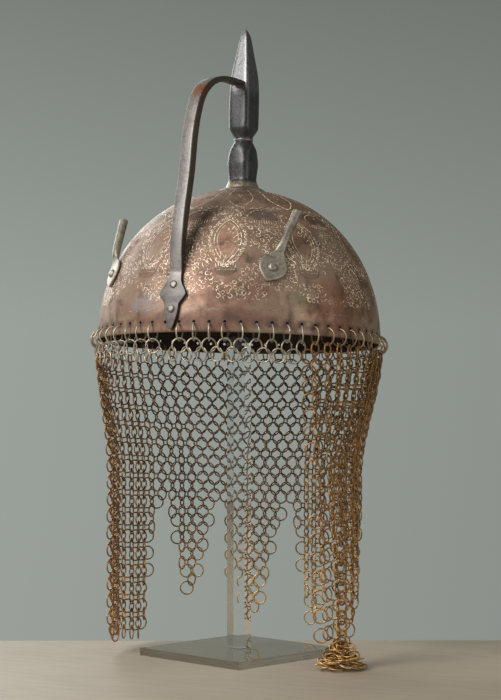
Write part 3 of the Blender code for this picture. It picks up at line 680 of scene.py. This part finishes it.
def build_ornament(bright, dark):
    pick = random.Random(11)
    light = Strokes()
    shading_strokes = Strokes()

    def tone(azimuth, arc, level=1.0):
        """Gilding tint: worn in places and browner to the right."""
        wear = noise.noise(Vector((3.0 * sin(azimuth), 3.0 * cos(azimuth), arc / 22.0)))
        level *= 1.05 + 0.45 * wear + pick.uniform(-0.12, 0.12)
        warm = 0.5 + 0.5 * sin(azimuth)
        return tuple(max(0.04, level * c) for c in (0.84, 0.77 - 0.07 * warm, 0.68 - 0.17 * warm))

    def gild(azimuth, arc, path, width, level=1.0):
        light.add(azimuth, arc, path, width, tone(azimuth, arc, level))

    # Dark strokes along the engraved grooves, mostly under the gilt: painted shade of the grooves.
    def add_groove_shading(azimuth, arc, path, width, tint):
        shading_strokes.add(azimuth, arc, path, width, tint, SHADING_LIFT)

    def border(azimuth, arc, path, size, gap):
        """Small rings and scrolls along a path."""
        length = np.concatenate([[0.0], np.cumsum(np.hypot(*np.diff(path, axis=0).T))])
        for at in np.arange(0.5 * gap, length[-1], gap):
            middle = np.array([float(np.interp(at, length, path[:, k])) for k in (0, 1)])
            for stroke in motif_paths(pick.choice((0, 2, 2, 4)), size):
                gild(azimuth, arc, turned(stroke, pick.uniform(-40.0, 40.0)) + middle, 0.6)

    for i in range(PETALS):
        azimuth = radians(PETAL_START + 360.0 / PETALS * i)
        outline = [(-3.4, 146.0), (-6.2, 132.0), (-8.8, 118.0), (-6.4, 109.5), (0.0, 103.0)]
        outline += [(-u, v) for u, v in reversed(outline[:-1])]
        path = np.array(smooth_route([(u, v - PETAL_ARC) for u, v in outline], 4))
        add_groove_shading(azimuth, PETAL_ARC, path, 0.9, (0.10, 0.075, 0.06))
        gild(azimuth, PETAL_ARC, path, 0.75, 1.15)
        gild(azimuth, PETAL_ARC, [(0.0, -12.0), (0.1, 0.0), (0.0, 20.0)], 0.6)
        for lean in (-14.0, 14.0):
            rib = turned([(0.0, -7.0), (0.0, 3.0), (0.0, 13.0)], lean) + np.array([lean / 9.0, 1.0])
            gild(azimuth, PETAL_ARC, rib, 0.6, 0.95)

    medallions = [radians(MEDALLION_START + MEDALLION_TURN * i) for i in range(MEDALLIONS)]
    for azimuth in medallions:
        add_groove_shading(azimuth, MEDALLION_ARC, cartouche_path(9.4, 19.0), 1.1, (0.11, 0.08, 0.065))
        gild(azimuth, MEDALLION_ARC, cartouche_path(9.4, 19.0), 0.6, 1.1)
        gild(azimuth, MEDALLION_ARC, cartouche_path(7.2, 15.6), 0.45, 0.9)
        border(azimuth, MEDALLION_ARC, cartouche_path(12.4, 22.0, 31), 2.7, 3.0)
        for lean in (-150.0, -30.0, 90.0, 210.0):
            leaf = turned(arc_path(1.5, -60.0, 60.0, 5), lean) + np.array([0.0, 7.0])
            gild(azimuth, MEDALLION_ARC, leaf, 0.4)
        light.add(azimuth, MEDALLION_ARC, arc_path(0.35, 0.0, 360.0, 7, (0.0, 9.6)), 0.7, (0.85, 0.78, 0.62))
        for v in (-9.0, -5.0, -1.0):
            gild(azimuth, MEDALLION_ARC, arc_path(2.2, 200.0, 340.0, 7, (0.0, v), 0.5), 0.3, 0.6)
        arches = [arc_path(9.6, 143.0, 37.0, 9, (0.0, -5.6)), arc_path(9.6, -37.0, -143.0, 9, (0.0, 5.6))]
        add_groove_shading(azimuth, LENS_ARC, np.concatenate(arches), 0.5, (0.12, 0.10, 0.085))
        for k in range(-4, 5):
            gild(azimuth, LENS_ARC, [(1.6 * k, 3.6 - 0.12 * k * k), (1.75 * k, 7.0 - 0.12 * k * k)], 0.7)
        for k in range(-3, 4):
            gild(azimuth, LENS_ARC, [(1.9 * k - 0.7, 0.3), (1.9 * k + 0.7, 0.7)], 0.5, 0.85)

    half_ovals = [radians(HALF_OVAL_START + MEDALLION_TURN * i) for i in range(MEDALLIONS)]
    for azimuth in half_ovals:
        half = arc_path(11.0, 180.0, 0.0, 13, (0.0, -2.0), 0.86)
        add_groove_shading(azimuth, HALF_OVAL_ARC, half, 1.0, (0.09, 0.075, 0.065))
        gild(azimuth, HALF_OVAL_ARC, half, 0.6, 0.8)
        gild(azimuth, HALF_OVAL_ARC, [(-11.0, -2.4), (0.0, -2.8), (11.0, -2.4)], 0.4, 0.9)
        for k in range(-6, 7):
            gild(azimuth, HALF_OVAL_ARC, [(1.7 * k, -4.4), (1.75 * k, -8.4 + 0.05 * k * k)], 0.75, 0.95)
        for v in (-11.0, -13.2, -15.4):
            gild(azimuth, HALF_OVAL_ARC, [(-7.0, v), (-2.0, v - 0.3), (3.0, v), (7.0, v + 0.2)], 0.34, 0.7)
        gild(azimuth, HALF_OVAL_ARC, [(0.0, 2.2), (0.15, 4.4)], 0.8, 1.1)
        for k in range(7):
            ray = turned([(0.0, 9.0), (0.0, 15.5)], -52.0 + 17.0 * k)
            light.add(azimuth + radians(15.0), 42.0, ray, 0.8, tone(azimuth, 45.0, 1.2))
        for k in range(6):
            ray = turned([(0.0, 5.0), (0.2, 11.0)], -66.0 + 8.0 * k) + np.array([-2.0 - 0.3 * k, 3.2 * k - 6.0])
            light.add(azimuth + radians(20.0), 62.0, ray, 0.8, tone(azimuth, 60.0, 1.2))

    def clear_of_shapes(azimuth, arc):
        radius = float(arc_radius(arc * MM))

        def across(middle):
            """Millimetres round the dome from a shape's middle."""
            return ((azimuth - middle + pi) % (2.0 * pi) - pi) * radius / MM

        for u in map(across, medallions):
            if (u / 14.0) ** 2 + ((arc - MEDALLION_ARC) / 24.0) ** 2 < 1.0 or (abs(u) < 9.0 and 36.0 < arc < 52.0):
                return False
        return not (82.0 < arc < 100.0 and any(abs(across(middle)) < 11.0 for middle in half_ovals))

    arc = 24.0
    while arc < 103.0:
        radius = float(arc_radius(arc * MM)) / MM
        count = int(2.0 * pi * radius / 3.5)
        for i in range(count):
            azimuth = 2.0 * pi * (i + pick.uniform(-0.28, 0.28)) / count
            at = arc + pick.uniform(-0.7, 0.7)
            wear = noise.noise(Vector((4.0 * sin(azimuth), 4.0 * cos(azimuth), at / 16.0)))
            kept = wear > -0.34 + 0.5 * max(0.0, (34.0 - at) / 14.0) and clear_of_shapes(azimuth, at)
            kind = pick.choice((0, 0, 1, 2, 3, 3, 4, 5))
            spin = pick.uniform(0.0, 360.0)
            if not kept:
                continue
            for stroke in motif_paths(kind, pick.uniform(2.8, 4.0)):
                gild(azimuth, at, turned(stroke, spin), pick.uniform(0.38, 0.58))
        arc += 3.4
    for i in range(SCALLOPS):
        azimuth = 2.0 * pi * i / SCALLOPS
        if pick.random() >= 0.30:
            scallop = arc_path(2.6, 205.0, 335.0, 6, (0.0, 1.2), 0.6)
            light.add(azimuth, 15.6, scallop, 0.4, tone(azimuth, 16.0, 0.40))
    return [light.piece("skull_gilt_lines", bright), shading_strokes.piece("skull_painted_groove_shade", dark)]


def build_finial_plate(material):
    flat = SPIKE_HALF_WIDTH * SPIKE_ROWS[0][1]
    seat = DOME_HEIGHT + SEAT_GAP + FINIAL_PLATE_THICKNESS
    profile = []
    for i in range(9):
        radius = FINIAL_PLATE_RADIUS * i / 8
        height = DOME_HEIGHT * (1.0 - (radius / RIM_RADIUS) ** DOME_EXPONENT) ** (1.0 / DOME_EXPONENT)
        profile.append((radius, height + SEAT_GAP))
    edge = profile[-1][1]
    profile += [(FINIAL_PLATE_RADIUS, edge + 0.35 * FINIAL_PLATE_THICKNESS)]
    profile += [(FINIAL_PLATE_RADIUS - 0.0003, edge + 0.55 * FINIAL_PLATE_THICKNESS)]
    profile += [(0.5 * (flat + FINIAL_PLATE_RADIUS), seat - 0.25 * FINIAL_PLATE_THICKNESS), (flat, seat), (0.0, seat)]

    def worn_edge(radius, height, angle):
        wave = 1.0 - 0.035 * (0.5 + 0.5 * sin(5.0 * angle) * sin(3.0 * angle + 1.0))
        return wave if radius > flat else 1.0

    points, faces = lathe(profile, 96, worn_edge)
    return make_piece("finial_plate_worn", to_world(points), faces, [material])


def build_spike(material):
    base = DOME_HEIGHT + 2.0 * SEAT_GAP + FINIAL_PLATE_THICKNESS
    turn = SPIKE_CORNER_AZIMUTH - 0.25 * pi
    c = cos(turn)
    s = sin(turn)
    sides = 64
    rings = []
    tints = []
    for share, width, squareness in smooth_route(SPIKE_ROWS, 3):
        share = min(max(share, 0.0), 1.0)
        squareness = max(squareness, 2.0)
        half = SPIKE_HALF_WIDTH * width / 2.0 ** (0.5 - 1.0 / squareness)
        section = squircle(half, half, squareness, sides)
        x = section[:, 0] * c - section[:, 1] * s
        y = section[:, 0] * s + section[:, 1] * c
        rings.append(np.stack([x, y, np.full(sides, base + SPIKE_LENGTH * share)], axis=1))
        for u, v in section:
            ground = ease((share - 0.59) / 0.03) * (1.0 if v < 0.0 and abs(u) < -v else 0.35)
            foot = ease((0.045 - share) / 0.02)
            ring = 1.0 if 0.296 < share < 0.309 else 0.0
            tint = np.ones(3) * (1.0 + 2.2 * ground + 2.4 * ring)
            tints.append(tint * (1.0 - foot) + np.array([4.6, 3.5, 2.5]) * foot)
    points, faces = loft(rings)
    return make_piece("finial_spike_forged", to_world(points), faces, [material], tints, sharp=28.0)


def spike_half_side(share):
    for low, high in zip(SPIKE_ROWS, SPIKE_ROWS[1:]):
        if low[0] <= share <= high[0]:
            mix = (share - low[0]) / (high[0] - low[0])
            half = low[1] + (high[1] - low[1]) * mix
            squareness = low[2] + (high[2] - low[2]) * mix
            return SPIKE_HALF_WIDTH * half / 2.0 ** (0.5 - 1.0 / squareness)
    return SPIKE_HALF_WIDTH


def bar_rows():
    """(reach, height, width, thickness, turn) of the bar from the foot's tip to the spike."""
    stations = []
    for share, width in smooth_route(FOOT_ROWS, 3):
        height = FOOT_START + FOOT_LENGTH * min(share, 1.0)
        point = dome_frame(0.0, height, SEAT_GAP + FOOT_THICKNESS).translation
        stations.append((-point.y, point.z, FOOT_WIDTH * width, FOOT_THICKNESS, 0.0))
    free = []
    for reach, height, width, thickness, turn in BAR_ROUTE:
        row = (RIM_RADIUS * reach, BAR_END_HEIGHT * height, BAR_WIDTH * width, BAR_THICKNESS * thickness)
        free.append((*row, BAR_TURN * turn))
    seat = DOME_HEIGHT + SEAT_GAP + FINIAL_PLATE_THICKNESS
    facet_turn = abs(SPIKE_CORNER_AZIMUTH - 0.25 * pi)
    reach = spike_half_side((BAR_END_HEIGHT - seat) / SPIKE_LENGTH) / cos(facet_turn)
    reach += 0.5 * BAR_WIDTH * tan(facet_turn) + 2.0 * SEAT_GAP
    last = free[-1]
    free.append((reach, BAR_END_HEIGHT, last[2], 0.95 * last[3], 0.0))
    return stations[:-1] + smooth_route(stations[-1:] + free, 8)


def bar_section(width, thickness):
    """Points of a rectangle with rounded edges, its outer face through the origin."""
    bevel = 0.16 * min(width, thickness)
    half = 0.5 * width
    corners = ((half - bevel, -bevel, 90.0), (half - bevel, bevel - thickness, 0.0))
    corners += ((bevel - half, bevel - thickness, -90.0), (bevel - half, -bevel, 180.0))
    points = []
    for u, v, start in corners:
        for step in range(4):
            angle = radians(start - 30.0 * step)
            points.append((u + bevel * cos(angle), v + bevel * sin(angle)))
    return points


def build_nasal_bar(face_material, shaded_side_material):
    rows = bar_rows()
    side = Vector((1.0, 0.0, 0.0))
    points = []
    tints = []
    for i, (reach, height, width, thickness, turn) in enumerate(rows):
        before = rows[max(i - 1, 0)]
        after = rows[min(i + 1, len(rows) - 1)]
        run = Vector((0.0, before[0] - after[0], after[1] - before[1])).normalized()
        face = side.cross(run)
        spin = Matrix.Rotation(-turn, 3, run)
        middle = Vector((0.0, -reach, height)) - face * 0.5 * thickness
        wobble = 0.00025 * noise.noise(Vector((0.0, 7.0, 90.0 * height)))
        rust = ease(1.0 - abs(height - 0.172) / 0.010) * ease((reach - 0.045) / 0.02)
        dull = 1.0 - 0.45 * ease(1.0 - abs(height - 0.060) / 0.020) - 0.48 * ease((0.042 - height) / 0.01)
        for across, out in bar_section(width + wobble, thickness):
            points.append(tuple(middle + spin @ (side * across + face * (out + 0.5 * thickness))))
            tints.append(np.ones(3) * dull * (1.0 - rust) + np.array([1.25, 0.62, 0.36]) * rust)
    sides = len(points) // len(rows)
    points, faces = loft([points[i : i + sides] for i in range(0, len(points), sides)])
    # The outer face is the columns on each side of the section's first point.
    index = [0 if k % sides in (13, 14, 15, 0, 1) else 1 for k in range(len(faces))]
    # The sides and the inner face take the darker side steel: painted shade.
    materials = [face_material, shaded_side_material]
    return make_piece("nasal_bar_forged", to_world(points), faces, materials, tints, index, 50.0)


def build_rivet(name, place, grip, head_radius, material, dome_share=RIVET_DOME_SHARE):
    seat = SEAT_GAP + grip + SEAT_GAP
    inner_top = -WALL - RIVET_INNER_GAP
    inner_end = inner_top - RIVET_INNER_HEAD_HEIGHT
    rise = dome_share * head_radius
    profile = [(0.0, inner_end), (0.8 * RIVET_INNER_HEAD_RADIUS, inner_end)]
    profile += [(RIVET_INNER_HEAD_RADIUS, inner_end + 0.5 * RIVET_INNER_HEAD_HEIGHT)]
    profile += [(RIVET_INNER_HEAD_RADIUS, inner_top), (RIVET_SHANK_RADIUS, inner_top), (RIVET_SHANK_RADIUS, seat)]
    for step in range(10):
        angle = radians(10.0 * step)
        flat = min(sin(angle), RIVET_FLAT_SHARE)
        profile.append((head_radius * cos(angle), seat + rise * flat))
    profile.append((0.0, seat + RIVET_FLAT_SHARE * rise))

    def hammered(radius, height, angle):
        return 1.0 + (0.05 * sin(3.0 * angle) + 0.03 * sin(5.0 * angle + 1.0)) * (height > seat)

    points, faces = lathe(profile, 32, hammered)
    points = [tuple(place @ Vector(point)) for point in points]
    return make_piece(name, to_world(points), faces, [material], sharp=45.0)


def plume_frame(side):
    azimuth = PLUME_AZIMUTHS[side]
    splay = -PLUME_SPLAY if azimuth > 0.0 else PLUME_SPLAY
    return dome_frame(azimuth, PLUME_HEIGHT) @ Matrix.Rotation(splay, 4, "Z")


def build_plume_holder(side, material):
    place = plume_frame(side)
    sides = 40
    rings = []
    tints = []

    def add_ring(section, along, rise, tint):
        rings.append([tuple(place @ Vector((u, along, v + rise))) for u, v in section])
        tints.extend([tint] * sides)

    for share, width, thickness, squareness in smooth_route(PLUME_ROWS, 5):
        t_half = 0.5 * TUBE_WIDTH * thickness
        section = squircle(0.5 * LEAF_WIDTH * width, t_half, max(squareness, 2.0), sides)
        add_ring(section, PLUME_LENGTH * share, t_half + SEAT_GAP, (1.0, 1.0, 1.0))
    bore = 0.5 * TUBE_WIDTH - TUBE_WALL
    for depth, radius in ((0.0, bore), (0.002, bore), (TUBE_BORE_LENGTH, 0.8 * bore)):
        # Inside the bore the tint is dark: painted shade down the tube.
        tint = (0.25, 0.24, 0.22) if depth else (1.0, 1.0, 1.0)
        add_ring(squircle(radius, radius, 2.0, sides), PLUME_LENGTH - depth, 0.5 * TUBE_WIDTH + SEAT_GAP, tint)
    points, faces = loft(rings)
    return make_piece("plume_holder_%s_forged" % side, to_world(points), faces, [material], tints, sharp=50.0)


# Mail.


def edge_share(azimuth):
    for (low, low_share), (high, high_share) in zip(MAIL_EDGE, MAIL_EDGE[1:]):
        if low <= azimuth <= high:
            return low_share + (high_share - low_share) * (azimuth - low) / (high - low)
    return 1.0


def rim_point(azimuth, height=-SEAT_GAP):
    """A point in the world at the middle of the rim's wall, for an azimuth in radians and a height over the rim."""
    return HELMET @ (outward(azimuth) * (RIM_RADIUS - 0.5 * WALL) + Vector((0.0, 0.0, height)))


def hangs_long(azimuth):
    """Whether the mail at an azimuth in degrees hangs long, beside and behind the face."""
    return FACE_OPENING <= azimuth % 360.0 <= 360.0 - FACE_OPENING


def mail_point(azimuth, height):
    """A point of the hanging mail for an azimuth in degrees at the rim and a height over the table."""
    azimuth %= 360.0
    top = rim_point(radians(azimuth))
    drop = top.z - height
    settle = ease(drop / MAIL_NECK)
    low = ease(drop / RIM_HEIGHT)
    at = azimuth
    if hangs_long(azimuth):
        at = 180.0 + (azimuth - 180.0) * (1.0 - MAIL_CONTRACTION * settle)
    nearness = max(0.0, 1.0 - abs(at - GATHER_AZIMUTH) / GATHER_REACH)
    pull = sin(0.5 * pi * nearness) ** 2 * low
    at += (GATHER_AZIMUTH - at) * GATHER_SHARE * pull
    fold = FOLD_DEPTH * sin(radians(FOLD_COUNT * azimuth)) * settle
    radius = (RIM_RADIUS - 0.5 * WALL) * (1.0 - MAIL_NARROWING * settle) + fold + GATHER_FLARE * pull
    point = outward(radians(at)) * radius + MAIL_SHIFT * settle
    point.z = height
    return point


def ring_arrays():
    """For each point of a ring its angles round the ring and round the wire, and the ring's faces."""
    points = []
    faces = []
    for i in range(RING_SIDES):
        low = i * WIRE_SIDES
        high = (i + 1) % RING_SIDES * WIRE_SIDES
        for k in range(WIRE_SIDES):
            m = (k + 1) % WIRE_SIDES
            points.append((2.0 * pi * i / RING_SIDES, 2.0 * pi * k / WIRE_SIDES))
            faces.append((low + k, high + k, high + m, low + m))
    return np.array(points), np.array(faces)


UNIT_RING, UNIT_FACES = ring_arrays()


class Rings:
    """Rings of wire gathered into one mesh. Each has a centre, two axes of its plane and a tint."""

    def __init__(self):
        self.points = []
        self.faces = []
        self.tints = []

    def add(self, centre, across, up, radius, tint):
        across = np.array(across, float)
        up = np.array(up, float)
        across /= np.linalg.norm(across)
        up -= across * np.dot(across, up)
        up /= np.linalg.norm(up)
        normal = np.cross(across, up)
        angle = UNIT_RING[:, 0:1]
        around = UNIT_RING[:, 1:2]
        ray = np.cos(angle) * across + np.sin(angle) * up
        wire = ray * (radius + WIRE_RADIUS * np.cos(around)) + normal * WIRE_RADIUS * np.sin(around)
        self.faces.append(UNIT_FACES + len(self.points) * len(UNIT_RING))
        self.points.append(np.array(centre, float) + wire)
        self.tints.append(np.repeat(np.array([tint], float), len(UNIT_RING), axis=0))

    def piece(self, name, material):
        points = np.concatenate(self.points)
        faces = np.concatenate(self.faces).tolist()
        return make_piece(name, points, faces, [material], np.concatenate(self.tints), sharp=None)


BRONZE = np.array([0.36, 0.19, 0.07])
GOLD = np.array([0.60, 0.38, 0.14])
STEEL = np.array([0.42, 0.37, 0.30])
UMBER = np.array([0.13, 0.085, 0.05])


def build_mail(material):
    pick = random.Random(5)
    groups = {part: Rings() for part in ("right", "back", "left", "hangers")}
    columns = RIM_HOLES
    pitch = 360.0 / columns

    def shade(azimuth, height):
        """Tint of a ring from its side of the curtain and its height: the darker back and left are painted shade, and
        the back turns golden lower down.
        """
        low = ease((0.10 - height) / 0.08)
        if azimuth < 110.0:
            base = BRONZE * 0.84 + GOLD * (0.04 + 0.22 * low)
        elif azimuth < 250.0:
            # Painted shade: the back of the curtain, seen from inside, is dark umber.
            base = (UMBER * 1.3 + BRONZE * 0.2) * (1.0 - 0.8 * low) + GOLD * 0.8 * low
        else:
            # Painted shade: the left is darker than the right.
            base = UMBER * 0.7 + BRONZE * (0.5 + 0.3 * low)
        return base * pick.uniform(0.75, 1.3)

    def column_azimuth(row, k):
        """Azimuth in degrees: odd rows hang half a pitch on."""
        return (k + 0.5 + 0.5 * (row % 2)) * pitch

    first = {}
    for k in range(columns):
        azimuth = column_azimuth(0, k)
        rad = radians(azimuth)
        hung = rim_point(rad, HANGER_HOLD)
        first[k] = hung.z - HANGER_RADIUS - HANGER_DROP
        if k == EMPTY_HOLE:
            continue
        centre = hung - Vector((0.0, 0.0, HANGER_RADIUS))
        turn = rad + radians(pick.uniform(-16.0, 16.0))
        tint = (STEEL * 0.4 + BRONZE * 0.6 if hangs_long(azimuth) else STEEL) * pick.uniform(0.8, 1.25)
        groups["hangers"].add(centre, outward(turn), (0.0, 0.0, 1.0), HANGER_RADIUS, tint)

    # Each ring hangs below the one or two it is linked to, until the mail's edge is reached.
    rows = [first]
    while rows[-1]:
        row = len(rows)
        above = rows[-1]
        here = {}
        for k in range(columns):
            azimuth = column_azimuth(row, k)
            parent = k if row % 2 else k - 1
            pair = (above.get(parent % columns), above.get((parent + 1) % columns))
            held = [height for height in pair if height is not None]
            if not held:
                continue
            start = sum(held) / len(held)
            left = mail_point(azimuth - 0.5 * pitch, start - MEASURED_BELOW)
            right = mail_point(azimuth + 0.5 * pitch, start - MEASURED_BELOW)
            gap = min((right - left).length, WIDEST_GAP)
            height = start - 0.99 * sqrt(LINK_REACH**2 - (0.5 * gap) ** 2)
            if hangs_long(azimuth):
                bottom = RIM_HEIGHT * edge_share(azimuth % 360.0) - 0.002
            else:
                bottom = rim_point(radians(azimuth)).z - FACE_BAND_DROP
            if height - RING_RADIUS >= bottom:
                here[k] = height
        rows.append(here)

    for row, here in enumerate(rows):
        lean = 1.0 if row % 2 else -1.0
        for k, height in here.items():
            if row == 0 and k == EMPTY_HOLE:
                continue
            azimuth = column_azimuth(row, k) % 360.0
            centre = mail_point(azimuth, height)
            along = mail_point(azimuth + 0.5 * pitch, height) - mail_point(azimuth - 0.5 * pitch, height)
            theta = LEAST_TURN + CROWDED_TURN * max(0.0, CROWDED_PITCH - along.length) / MM
            theta = radians(theta + pick.uniform(-2.0, 2.0))
            along.normalize()
            up = (mail_point(azimuth, height + 0.004) - centre).normalized()
            out = along.cross(up).normalized()
            across = along * cos(theta) + out * (lean * sin(theta))
            up = (up + out * pick.uniform(-0.03, 0.03) + along * pick.uniform(-0.03, 0.03)).normalized()
            if row < 2 and not hangs_long(azimuth):
                part = "hangers"
                tint = STEEL * pick.uniform(0.8, 1.3)
            else:
                part = "right" if azimuth < 130.0 else "back" if azimuth < 235.0 else "left"
                tint = shade(azimuth, height)
            centre = centre + out * pick.uniform(-0.0001, 0.0001)
            groups[part].add(centre, across, up, RING_RADIUS, tint)

    heap = mail_point(HEAP_AZIMUTH, HEAP_HEIGHT)
    for i in range(HEAP_RINGS):
        share = (i + 0.5) / HEAP_RINGS
        angle = GOLDEN_ANGLE * i
        reach = (HEAP_RADIUS + 0.001) * share**0.62 * 0.92
        lift = (1.0 - share) ** 1.1 * (HEAP_HEIGHT + 0.004) * pick.uniform(0.35, 1.0)
        tilt = radians(pick.uniform(8.0, 55.0)) * (1.0 - 0.75 * share)
        spin = pick.uniform(0.0, 2.0 * pi)
        flat = Vector((cos(spin), sin(spin), 0.0))
        other = Vector((-sin(spin) * cos(tilt), cos(spin) * cos(tilt), sin(tilt)))
        rise = RING_RADIUS * sin(tilt) + WIRE_RADIUS + 0.0001
        centre = (heap.x + reach * cos(angle), heap.y + reach * sin(angle), lift + rise)
        tint = (BRONZE * 0.6 + GOLD * 0.5) * pick.uniform(0.7, 1.25)
        groups["right"].add(centre, flat, other, RING_RADIUS, tint)
    return [group.piece("mail_rings_" + part, material) for part, group in groups.items()]


# The scene.


def build_table(material):
    rounding = 0.003
    profile = [(TABLE_BACK - rounding, 0.0)]
    for degrees in (30.0, 60.0, 90.0):
        angle = radians(degrees)
        reach = TABLE_BACK - rounding + rounding * sin(angle)
        profile.append((reach, rounding * (cos(angle) - 1.0)))
    profile += [(TABLE_BACK, -0.03), (-1.0, -0.03), (-1.0, 0.0)]
    points = [tuple(camera_space(across, reach, height)) for across in (-1.6, 1.6) for reach, height in profile]
    n = len(profile)
    faces = [(i, (i + 1) % n, n + (i + 1) % n, n + i) for i in range(n)]
    faces += [tuple(reversed(range(n))), tuple(range(n, 2 * n))]
    make_piece("table_top", points, faces, [material], sharp=60.0)


def add_area(name, location, target, size, power, colour):
    light = bpy.data.lights.new(name, "AREA")
    light.shape = "RECTANGLE"
    light.size, light.size_y = size
    light.energy = power
    light.color = colour
    obj = add_object(name, light)
    obj.location = location
    obj.rotation_euler = (target - location).to_track_quat("-Z", "Y").to_euler()


def camera_space(right, away, height):
    """A world place from its distance to the right of and beyond the stand, as the camera looks."""
    forward = Vector((-sin(CAMERA_AZIMUTH), cos(CAMERA_AZIMUTH), 0.0))
    side = Vector((forward.y, -forward.x, 0.0))
    return side * right + forward * away + Vector((0.0, 0.0, height))


def build_world():
    world = bpy.data.worlds.new("studio")
    bpy.context.scene.world = world
    world.use_nodes = True
    tree = world.node_tree
    way = add_node(tree, "TexCoord").outputs["Generated"]
    height = add_node(tree, "SeparateXYZ", {"Vector": way}).outputs["Z"]
    ramp = add_node(tree, "ValToRGB", {"Fac": remap(height, -0.16, 0.19)})
    stops = ramp.color_ramp.elements
    stops[0].color = (0.300, 0.325, 0.298, 1.0)
    stops[1].color = (0.185, 0.205, 0.183, 1.0)
    stops.new(0.52).color = (0.305, 0.332, 0.306, 1.0)
    side = tuple(camera_space(1.0, 0.0, 0.0))
    across = add_node(tree, "VectorMath", {0: way, 1: side}, operation="DOT_PRODUCT").outputs["Value"]
    shade = remap(across, -0.14, 0.14, 1.08, 0.86)
    grey = add_node(tree, "CombineColor", {"Red": shade, "Green": shade, "Blue": shade}).outputs["Color"]
    feed(tree.nodes["Background"], Color=blend(1.0, ramp.outputs["Color"], grey, "MULTIPLY"), Strength=1.0)


def build_camera():
    camera = bpy.data.cameras.new("camera")
    camera.sensor_fit = "VERTICAL"
    camera.sensor_height = 24.0
    camera.lens = CAMERA_LENS
    camera.clip_start = 0.05
    obj = add_object("camera", camera)
    obj.location = camera_space(0.0, -CAMERA_DISTANCE, CAMERA_HEIGHT)
    obj.rotation_euler = (Vector(CAMERA_TARGET) - obj.location).to_track_quat("-Z", "Y").to_euler()
    bpy.context.scene.camera = obj


# Each light: its place for camera_space, the height it aims at, its size in metres, its watts and its colour.
LIGHTS = {
    "key": ((-1.1, -1.0, 1.15), 0.25, (0.9, 0.9), 34.0, (1.0, 0.97, 0.93)),
    "fill": ((1.3, -0.9, 0.5), 0.2, (1.0, 1.0), 5.5, (1.0, 0.96, 0.92)),
    "back": ((-0.6, 1.0, 0.7), 0.15, (0.9, 0.6), 8.0, (0.96, 1.0, 0.98)),
}
# Each steel: its dark and light tone, its stain, metallic and roughness.
STEELS = {
    "dark_steel": ((0.038, 0.038, 0.041), (0.098, 0.098, 0.100), (0.035, 0.038, 0.034), 0.75, 0.40),
    "bar_steel_face": ((0.15, 0.137, 0.132), (0.29, 0.272, 0.268), (0.15, 0.10, 0.08), 0.65, 0.46),
    # The bar's side steel is a darker, rustier copy of its face steel: its darkness is painted shade.
    "bar_steel_shaded_side": ((0.045, 0.032, 0.024), (0.090, 0.065, 0.048), (0.11, 0.06, 0.035), 0.5, 0.55),
    "grey_steel": ((0.22, 0.20, 0.16), (0.39, 0.355, 0.30), (0.15, 0.12, 0.09), 0.65, 0.44),
    "rivet_steel": ((0.12, 0.10, 0.095), (0.26, 0.235, 0.22), (0.10, 0.07, 0.055), 0.7, 0.42),
}


def dress(piece, slot, *nodes):
    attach(piece, "root")
    if nodes:
        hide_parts(*nodes)


def main():
    build_camera()
    build_world()
    view = bpy.context.scene.view_settings
    view.view_transform = "Standard"
    view.look = "None"
    for name, (place, aim, size, power, colour) in LIGHTS.items():
        add_area(name, camera_space(*place), Vector((0.0, 0.0, aim)), size, power, colour)

    dress(build_skull(patina_material(), inner_material()), "skull", "skull")
    # The second line material carries the painted shade along the engraved grooves.
    for piece in build_ornament(line_material("gilt_lines", 0.15, 0.48), line_material("groove_shade_paint", 0.2, 0.6)):
        dress(piece, "skull")
    steel = {name: steel_material(name, *look) for name, look in STEELS.items()}
    dress(build_finial_plate(steel["bar_steel_face"]), "bar_steel", "finial_plate")
    dress(build_spike(steel["dark_steel"]), "dark_steel", "finial_spike")
    dress(build_nasal_bar(steel["bar_steel_face"], steel["bar_steel_shaded_side"]), "bar_steel", "nasal_bar")
    for name, height in NASAL_RIVETS.items():
        head = (dome_frame(0.0, height), FOOT_THICKNESS, NASAL_RIVET_RADIUS, steel["rivet_steel"])
        dress(build_rivet(name + "_head", *head, FLUSH_DOME_SHARE), "bar_steel", name)
    for side in PLUME_AZIMUTHS:
        dress(build_plume_holder(side, steel["grey_steel"]), "grey_steel", "plume_holder_" + side)
        head = (plume_frame(side), TUBE_WIDTH * LEAF_THICKNESS_SHARE, PLUME_RIVET_RADIUS, steel["grey_steel"])
        dress(build_rivet("plume_rivet_%s_head" % side, *head), "grey_steel", "plume_rivet_" + side)
    for piece in build_mail(mail_material()):
        dress(piece, "mail", "mail_curtain")
    acrylic = acrylic_material()
    for node in ("stand_base", "stand_post"):
        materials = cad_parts[node].data.materials
        materials.clear()
        materials.append(acrylic)
    build_table(table_material())


main()
bpy.context.view_layer.update()
